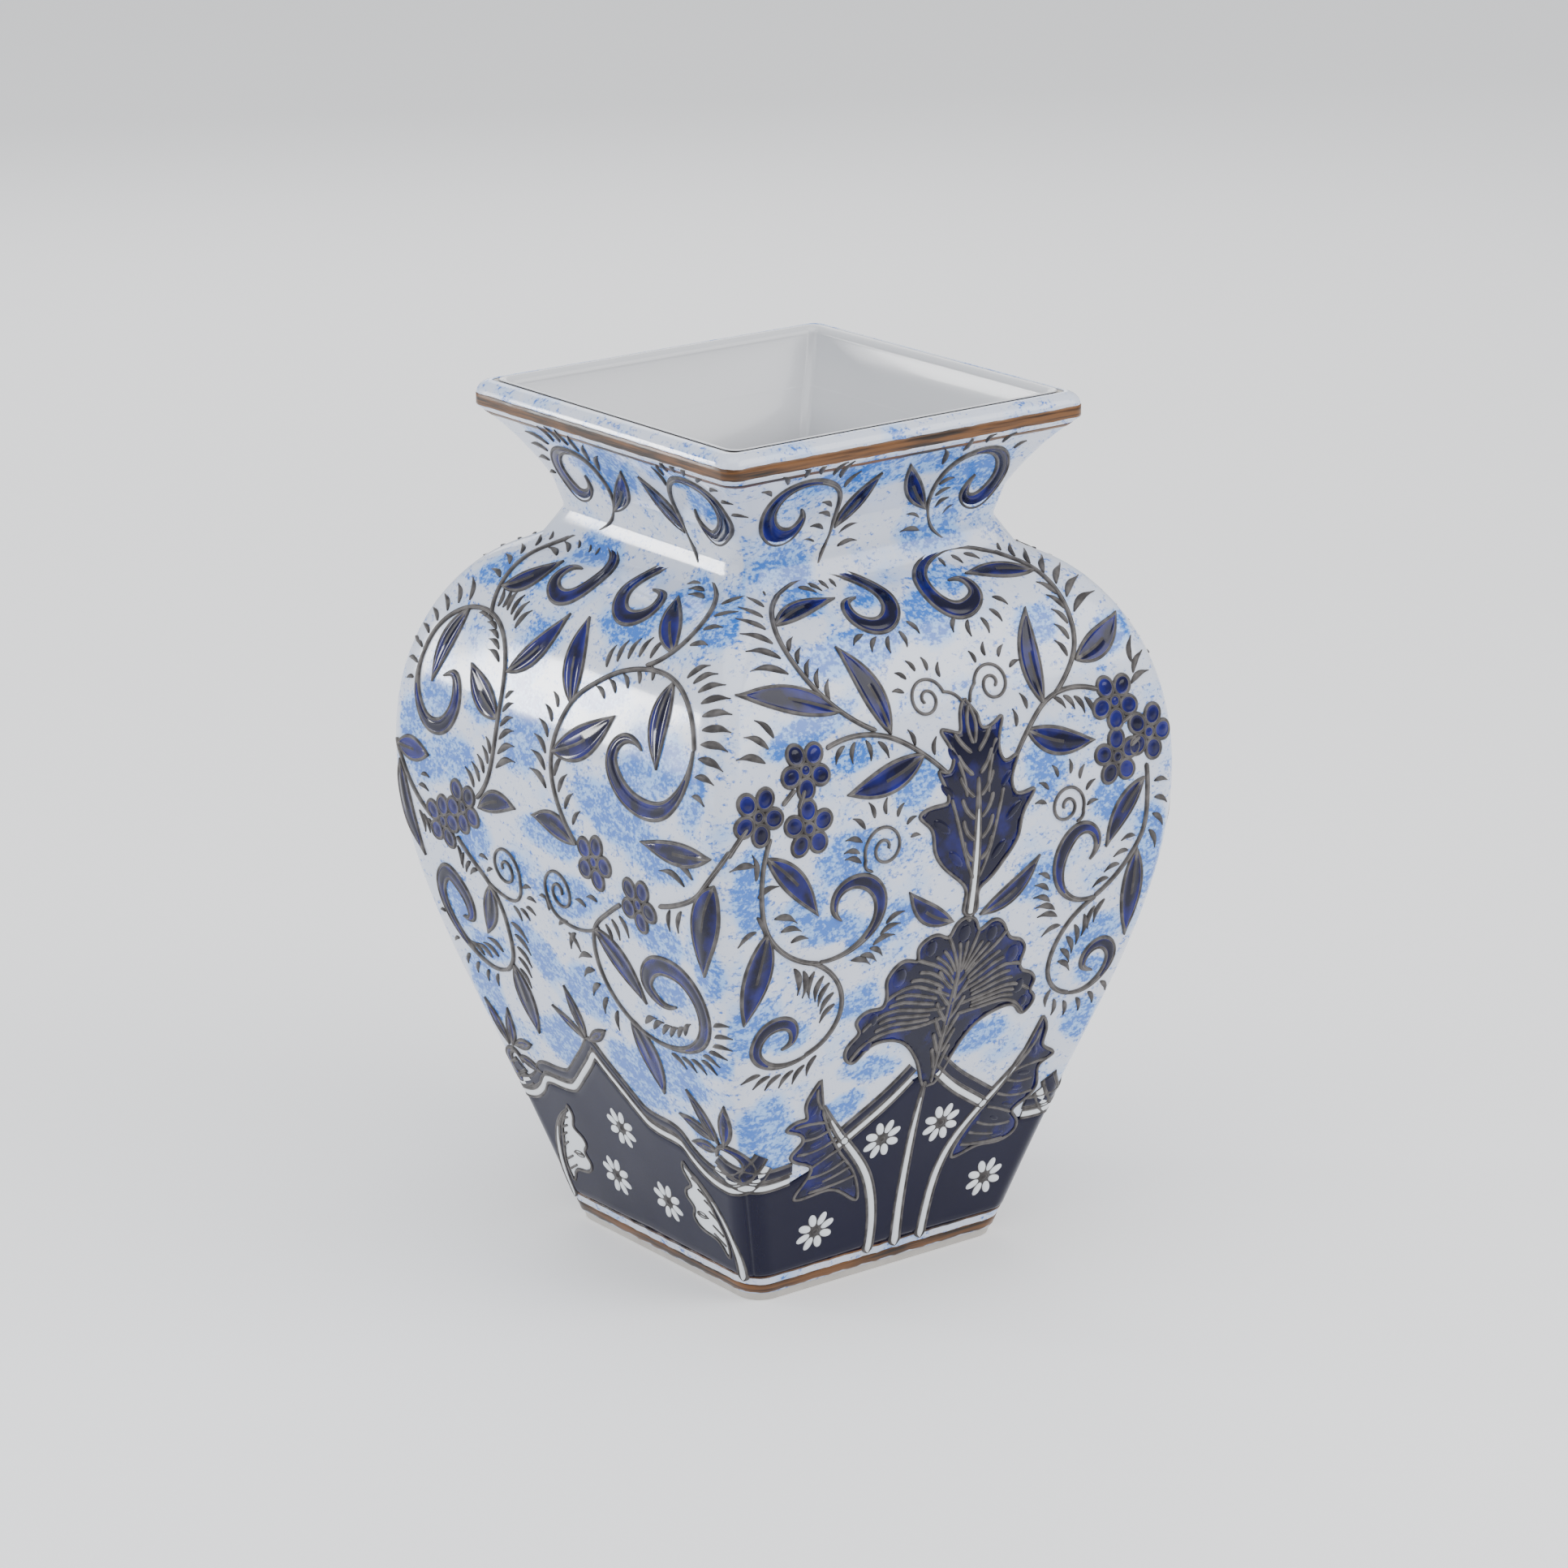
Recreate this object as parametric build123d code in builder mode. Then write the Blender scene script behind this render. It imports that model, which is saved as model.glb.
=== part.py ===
from build123d import *
import math
import os

# Square, hand-painted pottery vase. Origin at the middle of the foot, +Z up, the four faces look
# along -Y (front), -X (left), +Y (back) and +X (right). Millimetres.

# ---- Driving sizes of the pot -------------------------------------------------------------------
HEIGHT = 300.0            # foot to the top of the lip
FOOT_WIDTH = 106.0        # across the flats at the bottom
BELLY_WIDTH = 194.0       # across the flats at the widest level
BELLY_HEIGHT = 170.0      # level of the widest section
NECK_WIDTH = 108.6        # across the flats at the waist
NECK_DROP = 43.5          # from the top of the lip down to the waist
RIM_WIDTH = 147.0         # across the flats of the flared rim
RIM_DROP = 8.5            # from the top down to the lower edge of the rim's upright face
LIP_RADIUS = 4.5          # roll of the lip, outside
LIP_INNER_RADIUS = 3.0    # roll of the lip, inside
WALL = 6.5                # thickness of the side walls
RIM_WALL = 8.4            # and of the thicker rim
FLOOR = 9.0               # thickness of the bottom, foot ring included
CORNER_RADIUS = 9.0       # upright corners of the body
RIM_CORNER_RADIUS = 5.0   # corners of the rim
INNER_CORNER_RADIUS = 3.0  # corners of the hollow

# ---- Foot, glaze and painted bands ---------------------------------------------------------------
FOOT_RING_WIDTH = 11.0    # unglazed ring that the vase stands on
FOOT_RECESS = 3.0         # depth of the hollow under the foot
GLAZE = 0.4               # thickness of the glaze coat
GLAZE_START = 3.0         # the outer glaze stops this far above the table
BAND_PAINT = 0.25         # thickness of the painted bands over the glaze
FOOT_BAND = (3.2, 6.8)    # lower and upper level of the brown band at the foot
RIM_BAND = (0.2, 4.2)     # brown band on the rim's upright face, from its lower edge
PINSTRIPE = (-3.0, -1.8)  # thin line under the rim band, from the same edge
RELIEF = 0.8              # height of the raised enamel over the glaze
SKIRT_RELIEF = 0.5        # and of the flat navy skirt
EDGE_KEEP = 7.0           # raised enamel stops this far inside a face's edge

SECTIONS = 56             # square sections that the body is lofted through
LIP_SECTIONS = 5          # and the roll of the lip
GRID_HALF = 97.0          # the painter's grid on each face: half its width,
GRID_LENGTH = 319.2       # and its length up along the curve of the face

os.makedirs("parts", exist_ok=True)


# ---- The elevation of the pot: one smooth curve from the foot to the rim --------------------------
def blend(low, high, share):
    """The value that lies the given share of the way from low to high."""
    return low + (high - low) * share


foot, belly = FOOT_WIDTH / 2, BELLY_WIDTH / 2
neck, rim = NECK_WIDTH / 2, RIM_WIDTH / 2
neck_level = HEIGHT - NECK_DROP
rim_level = HEIGHT - RIM_DROP

# Places between the named sections, as (share across, share up) of each step.
TAPER_STEPS = ((0.385, 0.325), (0.76, 0.625))
SHOULDER_STEPS = ((0.152, 0.486), (0.41, 0.722), (0.685, 0.844), (0.895, 0.905))
FLARE_STEPS = ((0.275, 0.485), (0.60, 0.757))

elevation = [(foot, 0)]
elevation += [(blend(foot, belly, a), blend(0, BELLY_HEIGHT, b)) for a, b in TAPER_STEPS]
elevation += [(belly, BELLY_HEIGHT)]
elevation += [(blend(belly, neck, a), blend(BELLY_HEIGHT, neck_level, b)) for a, b in SHOULDER_STEPS]
elevation += [(neck, neck_level)]
elevation += [(blend(neck, rim, a), blend(neck_level, rim_level, b)) for a, b in FLARE_STEPS]
elevation += [(rim, rim_level)]

with BuildLine() as elevation_line:
    Spline(*elevation)
side_curve = elevation_line.line.edges()[0]
side_length = side_curve.length


def on_side(along, grow=0.0):
    """Half width and level at a length along the elevation, pushed out square to it by grow."""
    point = side_curve.position_at(along, PositionMode.LENGTH)
    slope = side_curve.tangent_at(along, PositionMode.LENGTH)
    return point.X + grow * slope.Y, point.Y - grow * slope.X


def above_waist(level):
    """How far up a level lies from the waist (0) to the rim (1)."""
    return min(1.0, max(0.0, (level - neck_level) / (rim_level - neck_level)))


def coat_side(along, grow, rim_grow):
    """Half width and level of a coat or wall, measured square to the curve, or level above the waist."""
    half, level = on_side(along)
    if level > neck_level:
        return half + blend(grow, rim_grow, above_waist(level)), level
    return on_side(along, grow)


def corner_at(level, base):
    """Corner radius, easing from the body's to the rim's above the waist."""
    return blend(base, base * RIM_CORNER_RADIUS / CORNER_RADIUS, above_waist(level))


def square_ring(half, level, radius):
    """One square section with rounded corners."""
    with BuildSketch(Plane.XY.offset(level)) as ring:
        RectangleRounded(2 * half, 2 * half, radius)
    return ring


def square_form(grow, rim_grow, radius, top, lip, roll):
    """The outside, or the hollow, as a solid. Its top edge rolls inwards (1) or outwards (-1)."""
    with BuildPart() as form:
        for i in range(SECTIONS + 1):
            half, level = coat_side(side_length * i / SECTIONS, grow, rim_grow)
            if i == 0:
                level = 0
            add(square_ring(half, level, corner_at(level, radius)).sketch)
        loft(ruled=True)
        collar = half
        collar_corner = corner_at(level, radius)
        add(square_ring(collar, level, collar_corner).sketch)
        extrude(amount=top - level - lip)
        for i in range(LIP_SECTIONS + 1):
            turn = math.radians(90 * i / LIP_SECTIONS)
            shift = roll * lip * (1 - math.cos(turn))
            rise = lip * math.sin(turn)
            add(square_ring(collar - shift, top - lip + rise, collar_corner - shift / 2).sketch)
        loft()
    return form


def save(piece, name, colour):
    """Label a finished piece and write it."""
    piece.part.label = name
    piece.part.color = Color(colour)
    export_step(piece.part, f"parts/{name}.step")
    print(f"{name:28s} {len(piece.part.solids())} solids  {piece.part.volume:12.1f} mm3")


# ---- Clay body --------------------------------------------------------------------------------
clay_outside = square_form(-GLAZE, -GLAZE, CORNER_RADIUS - GLAZE, HEIGHT - GLAZE, LIP_RADIUS, 1)
glazed_outside = square_form(0, 0, CORNER_RADIUS, HEIGHT, LIP_RADIUS, 1)
clay_hollow = square_form(-WALL, -RIM_WALL, INNER_CORNER_RADIUS, HEIGHT - GLAZE, LIP_INNER_RADIUS, -1)
glazed_hollow = square_form(
    -WALL - GLAZE, -RIM_WALL - GLAZE, INNER_CORNER_RADIUS, HEIGHT, LIP_INNER_RADIUS, -1
)
REACH = 2 * BELLY_WIDTH   # side of the blocks that trim a form at a level


def keep_between(low, high):
    """Trim the part in hand to the slab between two levels."""
    with Locations((0, 0, low)):
        Box(REACH, REACH, high - low, align=(Align.CENTER, Align.CENTER, Align.MIN), mode=Mode.INTERSECT)


with BuildPart() as hollow_above_floor:
    add(clay_hollow.part)
    keep_between(FLOOR, HEIGHT)

with BuildPart() as clay_body:
    add(clay_outside.part)
    add(hollow_above_floor.part, mode=Mode.SUBTRACT)
    with BuildSketch(Plane.XY):
        recess_side = FOOT_WIDTH - 2 * FOOT_RING_WIDTH
        RectangleRounded(recess_side, recess_side, CORNER_RADIUS)
    extrude(amount=FOOT_RECESS, mode=Mode.SUBTRACT)
save(clay_body, "clay_body", 0xB07A55)


# ---- Glaze coats ------------------------------------------------------------------------------
with BuildPart() as outer_glaze:
    add(glazed_outside.part)
    keep_between(GLAZE_START, HEIGHT)
    add(clay_outside.part, mode=Mode.SUBTRACT)
    add(glazed_hollow.part, mode=Mode.SUBTRACT)
save(outer_glaze, "outer_glaze", 0xE8EDF5)

with BuildPart() as inner_glaze:
    add(clay_hollow.part)
    keep_between(FLOOR, HEIGHT)
    with BuildPart(mode=Mode.PRIVATE) as air:
        add(glazed_hollow.part)
        keep_between(FLOOR + GLAZE, HEIGHT)
    add(air.part, mode=Mode.SUBTRACT)
save(inner_glaze, "inner_glaze", 0xD9DBE0)


# ---- Painted bands ------------------------------------------------------------------------------
banded_outside = square_form(BAND_PAINT, BAND_PAINT, CORNER_RADIUS + BAND_PAINT, HEIGHT, LIP_RADIUS, 1)


def painted_band(low, high, name):
    """A thin ring of brown paint round the whole vase between two levels."""
    with BuildPart() as band:
        add(banded_outside.part)
        keep_between(low, high)
        add(glazed_outside.part, mode=Mode.SUBTRACT)
    save(band, name, 0x7A4A24)


painted_band(FOOT_BAND[0], FOOT_BAND[1], "foot_band")
painted_band(rim_level + RIM_BAND[0], rim_level + RIM_BAND[1], "rim_band")
painted_band(rim_level + PINSTRIPE[0], rim_level + PINSTRIPE[1], "rim_pinstripe")


# ---- Raised enamel: how one mark is drawn ---------------------------------------------------------
# Marks are given on the painter's grid of a face: x across from its middle line, s up along its
# curve from the foot. They are flat faces in the elevation, cut through a thin layer over the glaze.
def spot(x, s):
    """Where a grid place lies in the face's elevation."""
    return x * belly / GRID_HALF, on_side(s * side_length / GRID_LENGTH)[1]


def patch(*places):
    """A straight-sided patch of enamel."""
    with BuildSketch() as mark:
        with BuildLine():
            Polyline(*[spot(x, s) for x, s in places], close=True)
        make_face()
    return mark.sketch


def stroke(*marks):
    """A brush stroke through (x, s, width) marks."""
    left, right = [], []
    for i, (x, s, width) in enumerate(marks):
        before, after = marks[max(i - 1, 0)], marks[min(i + 1, len(marks) - 1)]
        run, climb = after[0] - before[0], after[1] - before[1]
        reach = width / 2 / math.hypot(run, climb)
        left.append(spot(x - climb * reach, s + run * reach))
        right.append(spot(x + climb * reach, s - run * reach))
    with BuildSketch() as mark:
        with BuildLine():
            Spline(*left)
            Line(left[-1], right[-1])
            Spline(*reversed(right))
            Line(right[0], left[0])
        make_face()
    return mark.sketch


def leaf(x0, s0, x1, s1, width):
    """A pointed leaf from its stalk to its tip."""
    run, climb = x1 - x0, s1 - s0
    side = width / 2 / math.hypot(run, climb)
    ends = spot(x0, s0), spot(x1, s1)
    with BuildSketch() as mark:
        with BuildLine():
            for way in (side, -side):
                fat = spot(x0 + run * 0.45 - climb * way, s0 + climb * 0.45 + run * way)
                ThreePointArc(ends[0], fat, ends[1])
        make_face()
    return mark.sketch


def rosette(x, s, petals, petal_radius, spread, heart):
    """Round petals set round a middle."""
    with BuildSketch() as mark:
        with Locations(spot(x, s)):
            Circle(heart)
            with PolarLocations(spread, petals, 90):
                Circle(petal_radius)
    return mark.sketch


def flower(x, s):
    """A five-petalled flower."""
    return rosette(x, s, 5, 4.3, 6.0, 3.4)


def daisy(x, s):
    """A small daisy of eight petals."""
    return rosette(x, s, 8, 2.3, 5.6, 5.4)


def curl(x, s, turn, reach, side):
    """The thin spiral that ends a tendril, wound round its middle."""
    marks = []
    for i in range(10):
        angle = math.radians(turn + side * 42 * i)
        radius = reach * (1 - 0.075 * i)
        marks.append((x + radius * math.cos(angle), s + radius * math.sin(angle), 1.6))
    return stroke(*marks)


def mirrored(*marks, axis=0.0):
    """The same marks on the other side of a line up the face."""
    return [(2 * axis - mark[0], *mark[1:]) for mark in marks]


# ---- Front and back: what is drawn ----------------------------------------------------------------
def front_neck_scrolls():
    """Two scrolls and two leaves round the neck."""
    scroll = (
        (-25.2, 275.5, 1.6), (-20.4, 285, 1.8), (-20.2, 295, 2), (-23, 303.5, 2.4), (-29, 309, 3),
        (-37, 310, 4), (-45, 305.5, 5.4), (-48.2, 297.5, 6.4), (-46, 290, 7.4), (-40.5, 286.8, 7.4),
        (-35.8, 290, 4.6), (-35.2, 296.5, 1),
    )
    other = mirrored(*scroll)
    return (
        stroke(*scroll), stroke(*other), leaf(-18.3, 287.5, -6.7, 308.8, 7.5),
        leaf(19.2, 287.5, 4, 310, 7),
    )


def front_shoulder_scrolls():
    """Two thick scrolls that hang from the shoulder vines."""
    left = (
        (-43.5, 268.6, 2.2), (-34, 271.6, 2.8), (-24.7, 271.8, 3.6), (-14.5, 268.2, 4.8), (-9, 260.5, 6),
        (-8.6, 253, 6.6), (-13, 248.4, 6.6), (-20, 248, 6.6), (-24.5, 252.5, 5.6), (-23.5, 257.2, 4),
        (-19, 258.4, 1),
    )
    return stroke(*left), stroke(*mirrored(*left, axis=0.8))


def front_leaves():
    """The leaves on the vines."""
    return (
        leaf(-42.2, 221.6, -79.7, 234, 10), leaf(-24.2, 211, -37.2, 242.8, 9),
        leaf(-54.3, 255, -25.5, 260.8, 7.5), leaf(55.3, 221.6, 77.8, 234, 10),
        leaf(39.5, 210, 42.8, 242.5, 9), leaf(53.8, 255, 27.3, 259.5, 8),
        leaf(-12.2, 202.5, -45, 194.5, 10.5), leaf(30.3, 202.5, 58.7, 194.1, 10),
        leaf(-78.3, 181.6, -56.7, 156.6, 9.5), leaf(-76.8, 155.8, -82.2, 121.6, 11),
        leaf(80, 177.5, 64, 155.3, 8.5), leaf(78.2, 152.5, 78.7, 118.3, 9),
        leaf(0.5, 141.5, -18.8, 157, 7.5), leaf(11, 141.5, 35.3, 158.8, 7.5),
    )


def front_flowers():
    """Two clusters of three flowers."""
    places = ((-60.2, 206), (-80.5, 194.6), (-61, 187), (68.7, 205.3), (80.5, 191.6), (66, 186.5))
    return [flower(x, s) for x, s in places]


def front_body_scrolls():
    """Two scrolls at the belly and two below it."""
    return (
        stroke((-54, 139.2, 1.8), (-45, 139.6, 2.4), (-37.2, 143.8, 3.6), (-32.2, 151, 5), (-32, 158, 6),
               (-36, 163.6, 5.6), (-42.8, 165.4, 4.6), (-48, 162.6, 4), (-49.6, 158, 3), (-48, 153.5, 1)),
        stroke((61, 137.4, 1.8), (53, 138.4, 2.4), (47, 143.8, 3.6), (44.6, 152, 5.4), (47, 160, 6),
               (52.6, 164.2, 5), (58, 162.6, 4.4), (60, 158, 3), (58.4, 153.2, 1)),
        stroke((-54.7, 103.5, 1.8), (-63, 101.8, 2.6), (-71, 104.2, 3.8), (-75, 110, 5), (-73.6, 116, 5.6),
               (-68, 118.6, 5), (-62.4, 116.6, 4.4), (-60.8, 112, 3.4), (-64, 109, 1)),
        stroke((58.7, 99.8, 1.8), (66, 100.6, 2.6), (72, 106, 3.8), (73.2, 112.6, 4.6), (69, 117, 5),
               (63.7, 115.6, 4.2), (62.4, 110.4, 3), (66.5, 107.4, 1)),
    )


def front_curls():
    """Thin spirals: two over the plume and two over the belly scrolls."""
    return (
        curl(-8, 219.5, 10, 7.2, 1), curl(19.5, 220, 170, 7.2, -1),
        stroke((6.2, 215.5, 1.6), (3, 219.5, 1.4), (-0.9, 220.8, 1.4)),
        stroke((9.5, 215.5, 1.6), (10.5, 219, 1.4), (12.4, 221.2, 1.4)),
        curl(-30.5, 174.5, 200, 8, -1), curl(46, 173.5, -20, 7.4, 1),
        stroke((-36, 168.2, 1.6), (-38, 170, 1.4), (-38, 171.8, 1.4)),
        stroke((51.5, 168, 1.6), (53, 169.4, 1.4), (53, 171, 1.4)),
    )


def front_vines():
    """The thin stems that tie the leaves, scrolls and flowers together."""
    return (
        stroke((-45, 267.8, 2), (-52, 260.5, 1.8), (-55.6, 250, 1.8), (-54, 240.5, 1.8), (-49.7, 230.8, 1.8),
               (-43, 222.5, 1.8), (-31, 213.8, 1.8)),
        stroke((-50, 211.5, 1.8), (-37, 213, 1.8), (-24.7, 210, 1.8), (-13, 202.6, 1.8), (-4.5, 195, 1.6)),
        stroke((46.6, 267.8, 2), (53, 258, 1.8), (57.4, 246, 1.8), (58.2, 236, 1.8), (56.2, 226, 1.8),
               (50.3, 217.5, 1.8), (44, 212.5, 1.6)),
        stroke((61.2, 210.8, 1.6), (50.3, 212.5, 1.8), (40.3, 210, 1.8), (32, 203.3, 1.8), (25.5, 195.5, 1.4)),
        stroke((-76.7, 186, 1.6), (-79.7, 176, 1.8), (-80, 166, 1.8), (-78, 156.6, 1.8), (-73, 149, 1.8),
               (-64.7, 142.5, 1.8), (-55.5, 139, 1.8)),
        stroke((-57.5, 139.5, 1.6), (-49.7, 134.4, 1.8), (-43.8, 126, 1.8), (-42.6, 117.5, 1.8),
               (-46.3, 109, 1.8), (-53.6, 103.8, 1.8)),
        stroke((80.7, 181, 1.6), (81.2, 169, 1.8), (80.3, 159, 1.8), (76.2, 151, 1.8), (70.3, 144, 1.8),
               (62.4, 138, 1.8)),
        stroke((61.2, 136.8, 1.6), (52.8, 130.8, 1.8), (47.3, 121, 1.8), (46.8, 111, 1.8), (51.2, 103.8, 1.8),
               (57.6, 100.2, 1.8)),
    )


def front_plume():
    """The feathered plume in the middle, with its stem."""
    return (
        patch((7, 216.6), (3.7, 210.8), (2, 205.8), (-3.8, 208.3), (-1.3, 200.8), (-1.7, 194.5), (-6.3, 195),
              (-5, 187.5), (-4.7, 183.3), (-10.5, 183.8), (-16.3, 181.6), (-11.3, 177.5), (-10, 170.8),
              (-4.7, 160.8), (2, 155.8), (5, 151), (5, 143), (9, 143), (9.6, 151), (12, 153), (18.7, 159),
              (25.8, 167.5), (27.8, 175.8), (32, 182.5), (23.7, 181.6), (22.8, 187.5), (25.3, 195),
              (18.7, 194.5), (18.7, 200.8), (20.7, 209), (13.7, 205.8), (12, 209), (8.7, 213)),
    )


def front_blossom():
    """The fan-shaped blossom below the plume."""
    return (
        patch((1.7, 76), (-2.2, 83.3), (-6.7, 90.8), (-13, 98.3), (-21.3, 101.4), (-28.8, 98.3), (-32.7, 94.5),
              (-36.7, 98), (-35.6, 103.3), (-33, 107), (-34.5, 110), (-31.3, 114), (-24, 115.3),
              (-23.4, 121), (-23.8, 126), (-19.7, 130), (-13, 131), (-12.6, 135), (-9.7, 137.5),
              (-4.7, 137.6), (0.3, 136), (2.8, 140), (6.2, 142), (9.5, 140), (12, 136), (17, 137.5),
              (22, 136.4), (25, 133), (26, 130), (30, 129), (33, 125.5), (33.7, 120.8), (32.4, 116),
              (37.8, 114), (41, 110), (40.3, 106), (42.5, 104), (41.7, 99), (38.7, 96.6), (33.7, 100.8),
              (26.2, 101.6), (18.7, 97.5), (12, 90), (8.7, 81.6), (4.2, 76)),
    )


def front_stems():
    """Three white stems from the foot, with an acanthus leaf on each outer one."""
    return (
        stroke((-40.4, 78.5, 3.4), (-31.8, 66, 4.6), (-23, 55, 4.8), (-15.5, 44, 4.8), (-10.5, 32.5, 4.8),
               (-8, 22, 4.8), (-6.7, 11, 5)),
        stroke((1.5, 77, 4), (1.2, 61, 4.4), (2, 44, 4.6), (2.8, 27.5, 4.8), (5, 11, 5)),
        stroke((46, 79, 3.4), (37, 67.5, 4.6), (26.4, 55.8, 4.8), (19, 44, 4.8), (16, 32.5, 4.8),
               (15.3, 22, 4.8), (15.3, 11, 5)),
        patch((-44.7, 91), (-48, 85.8), (-48.2, 77.5), (-47.2, 75), (-55, 72.8), (-50.5, 70), (-46, 65),
              (-50.5, 60.8), (-46.3, 57.5), (-39.7, 52.5), (-41.3, 49), (-45, 42), (-36.3, 40.8),
              (-26.3, 39), (-16.3, 33.3), (-19.7, 45.8), (-26.3, 55), (-34.7, 65.8), (-41.5, 77.5)),
        patch((49.2, 92.6), (52.8, 85), (52.8, 79), (58.3, 75), (52, 70.8), (54.5, 64), (50.3, 57.5),
              (45.3, 54), (49.5, 46.6), (42, 41.6), (32, 42.5), (21.2, 40), (25.3, 52.5), (33.7, 62.5),
              (40.3, 72.5), (45.3, 80.8)),
    )


def front_border():
    """The ogee border over the dark skirt."""
    ogee = ((-74, 57.5), (-66, 54.6), (-57, 53.4), (-48, 54.2), (-39, 57.6), (-29, 64.5), (-17, 73), (-5, 84))
    return [stroke(*[(x, s, 8.0) for x, s in side]) for side in (ogee, mirrored(*ogee, axis=1.5))]


def front_skirt():
    """The navy skirt from the border down to the foot band."""
    return (
        patch((-74, 55), (-66, 52.4), (-57, 51), (-48, 51.6), (-39, 55), (-29, 62), (-17, 70), (-5, 80),
              (8, 80), (20, 70), (32, 62), (42, 55), (51, 51.6), (60, 51), (69, 52.4), (77, 55),
              (77, 10.2), (-74, 10.2)),
    )


def front_daisies():
    """Four daisies on the skirt."""
    return [daisy(x, s) for x, s in ((-11.7, 57.8), (14, 58), (-33, 25.8), (39.5, 27.5))]


# ---- Left and right: what is drawn ----------------------------------------------------------------
def side_neck_scrolls():
    """Two scrolls and two leaves round the neck."""
    return (
        stroke((-24.7, 276.5, 1.6), (-18.8, 282, 1.8), (-16.4, 290, 2), (-17.2, 298, 2.4), (-21.5, 304, 3),
               (-29, 306, 3.8), (-36.4, 303.6, 4.8), (-41, 298.3, 5.8), (-41, 292, 6.4), (-37.4, 287.6, 6.2),
               (-31.6, 286.8, 5), (-27.8, 290, 3), (-27, 295, 1)),
        stroke((30.2, 277.5, 1.6), (25, 283.5, 1.8), (23.6, 292, 2), (26, 301.5, 2.4), (32.6, 308, 3.2),
               (40.8, 310.6, 4.2), (48.2, 308.6, 5.4), (51.8, 302.6, 6.4), (51, 295.6, 7), (46.4, 289.6, 6.6),
               (40, 286.6, 5.4), (36, 290, 3), (36, 296.2, 1)),
        leaf(-17.2, 283.3, 1.2, 304.5, 7.5), leaf(24.5, 284, 10.3, 304.5, 9.5),
    )


def side_shoulder_scrolls():
    """Two thick scrolls that hang from the shoulder vines."""
    left = (
        (-38, 269.8, 2.2), (-30.5, 272.6, 2.8), (-21.5, 272.4, 3.6), (-13, 268.4, 4.8), (-8.8, 261.4, 6),
        (-9.6, 253.8, 6.6), (-14.6, 248.8, 6.6), (-21.6, 248.2, 6.6), (-26, 253, 5.6), (-24.4, 257.4, 4),
        (-19.5, 258.8, 1),
    )
    right = (
        (40, 271.8, 2.2), (32, 273.6, 2.8), (22, 272.6, 3.6), (13.4, 268.6, 4.8), (9.4, 262, 6),
        (10.2, 254.6, 6.6), (15, 249.8, 6.6), (22.4, 249.4, 6.6), (27.4, 254, 5.6), (25.4, 259.4, 4),
        (20, 260.4, 1),
    )
    return stroke(*left), stroke(*right)


def side_leaves():
    """The leaves on the vines."""
    return (
        leaf(-29.3, 217, -8, 242.8, 9), leaf(-49, 243.5, -30.5, 259.6, 9),
        leaf(-60, 232.8, -70.5, 204.5, 8.5), leaf(-29.7, 201, -49.7, 215.5, 11),
        leaf(9.5, 215, 2, 244, 11), leaf(50.8, 242, 32.8, 261.6, 9.5),
        leaf(3, 197.5, 33.7, 216, 12), leaf(57, 233.3, 61, 204.5, 10.5),
        leaf(-86.5, 179.2, -69.7, 179.1, 9), leaf(-87, 174, -79.5, 139.5, 8.5),
        leaf(-40.5, 168.5, -17.5, 172, 7.5), leaf(17, 169.2, -8, 172.8, 8.5),
        leaf(89.5, 181, 54.5, 179.5, 8.5), leaf(88, 172, 83.7, 139.5, 11),
        leaf(-40, 139.5, -49.3, 118, 8.5), leaf(22, 140.5, 43.7, 118, 10.5),
        leaf(-37.7, 109, -35.5, 80.8, 10.5), leaf(31.2, 109, 37.8, 80.8, 11.5),
    )


def side_flowers():
    """Two clusters of two flowers."""
    return [flower(x, s) for x, s in ((-64, 156.8), (-50.2, 165), (27, 165.4), (50.8, 156.4))]


def side_body_scrolls():
    """One wide scroll by each upper corner and one by each lower corner."""
    return (
        stroke((-77.8, 214, 1.8), (-79, 205.5, 3), (-77, 197.6, 4.4), (-71.2, 191.8, 5.6), (-63.8, 191.8, 6.2),
               (-57.8, 196.6, 6.2), (-55.6, 203.4, 5.6), (-57.8, 208.6, 4), (-63.6, 208.4, 1)),
        stroke((77.6, 214, 2), (77, 206, 3.4), (73, 198.8, 5), (66.6, 193.6, 6.2), (58.4, 191.2, 7),
               (48.6, 192.2, 7.2), (40, 197, 7), (36.6, 203.4, 6), (39.6, 208.6, 4.4), (45.4, 210.6, 3),
               (51, 209, 1)),
        stroke((-44, 105.4, 1.8), (-52, 103.6, 2.2), (-62, 107, 3), (-69.6, 114.6, 4.2), (-73, 124, 5),
               (-72.4, 132, 6), (-67.4, 136, 6.6), (-61.6, 133, 6.8), (-58, 127, 6.2), (-58.4, 122, 4),
               (-62.4, 121, 1)),
        stroke((36.6, 106, 1.8), (48, 103.9, 2.4), (60.4, 105.8, 3.4), (69.4, 110.4, 4.6), (75.8, 118.4, 6.2),
               (76.6, 127.4, 7.4), (70.4, 134.4, 7.6), (61, 136.4, 7.4), (52.4, 133.6, 7.2), (48.6, 127.6, 6.4),
               (52, 122.8, 4.4), (61.6, 122, 1)),
    )


def side_curls():
    """Two thin spirals in the middle."""
    return (
        curl(-28, 148.5, -20, 8.4, 1), curl(4, 148.5, 200, 8.4, -1),
        stroke((-41, 140.5, 1.8), (-33, 137.8, 1.6), (-25, 138, 1.6), (-20.6, 143, 1.4), (-20.2, 145, 1.4)),
        stroke((24.4, 141, 1.8), (16.5, 138.2, 1.6), (6, 137.6, 1.6), (-1.6, 140.4, 1.4), (-3.8, 144.6, 1.4)),
    )


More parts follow.
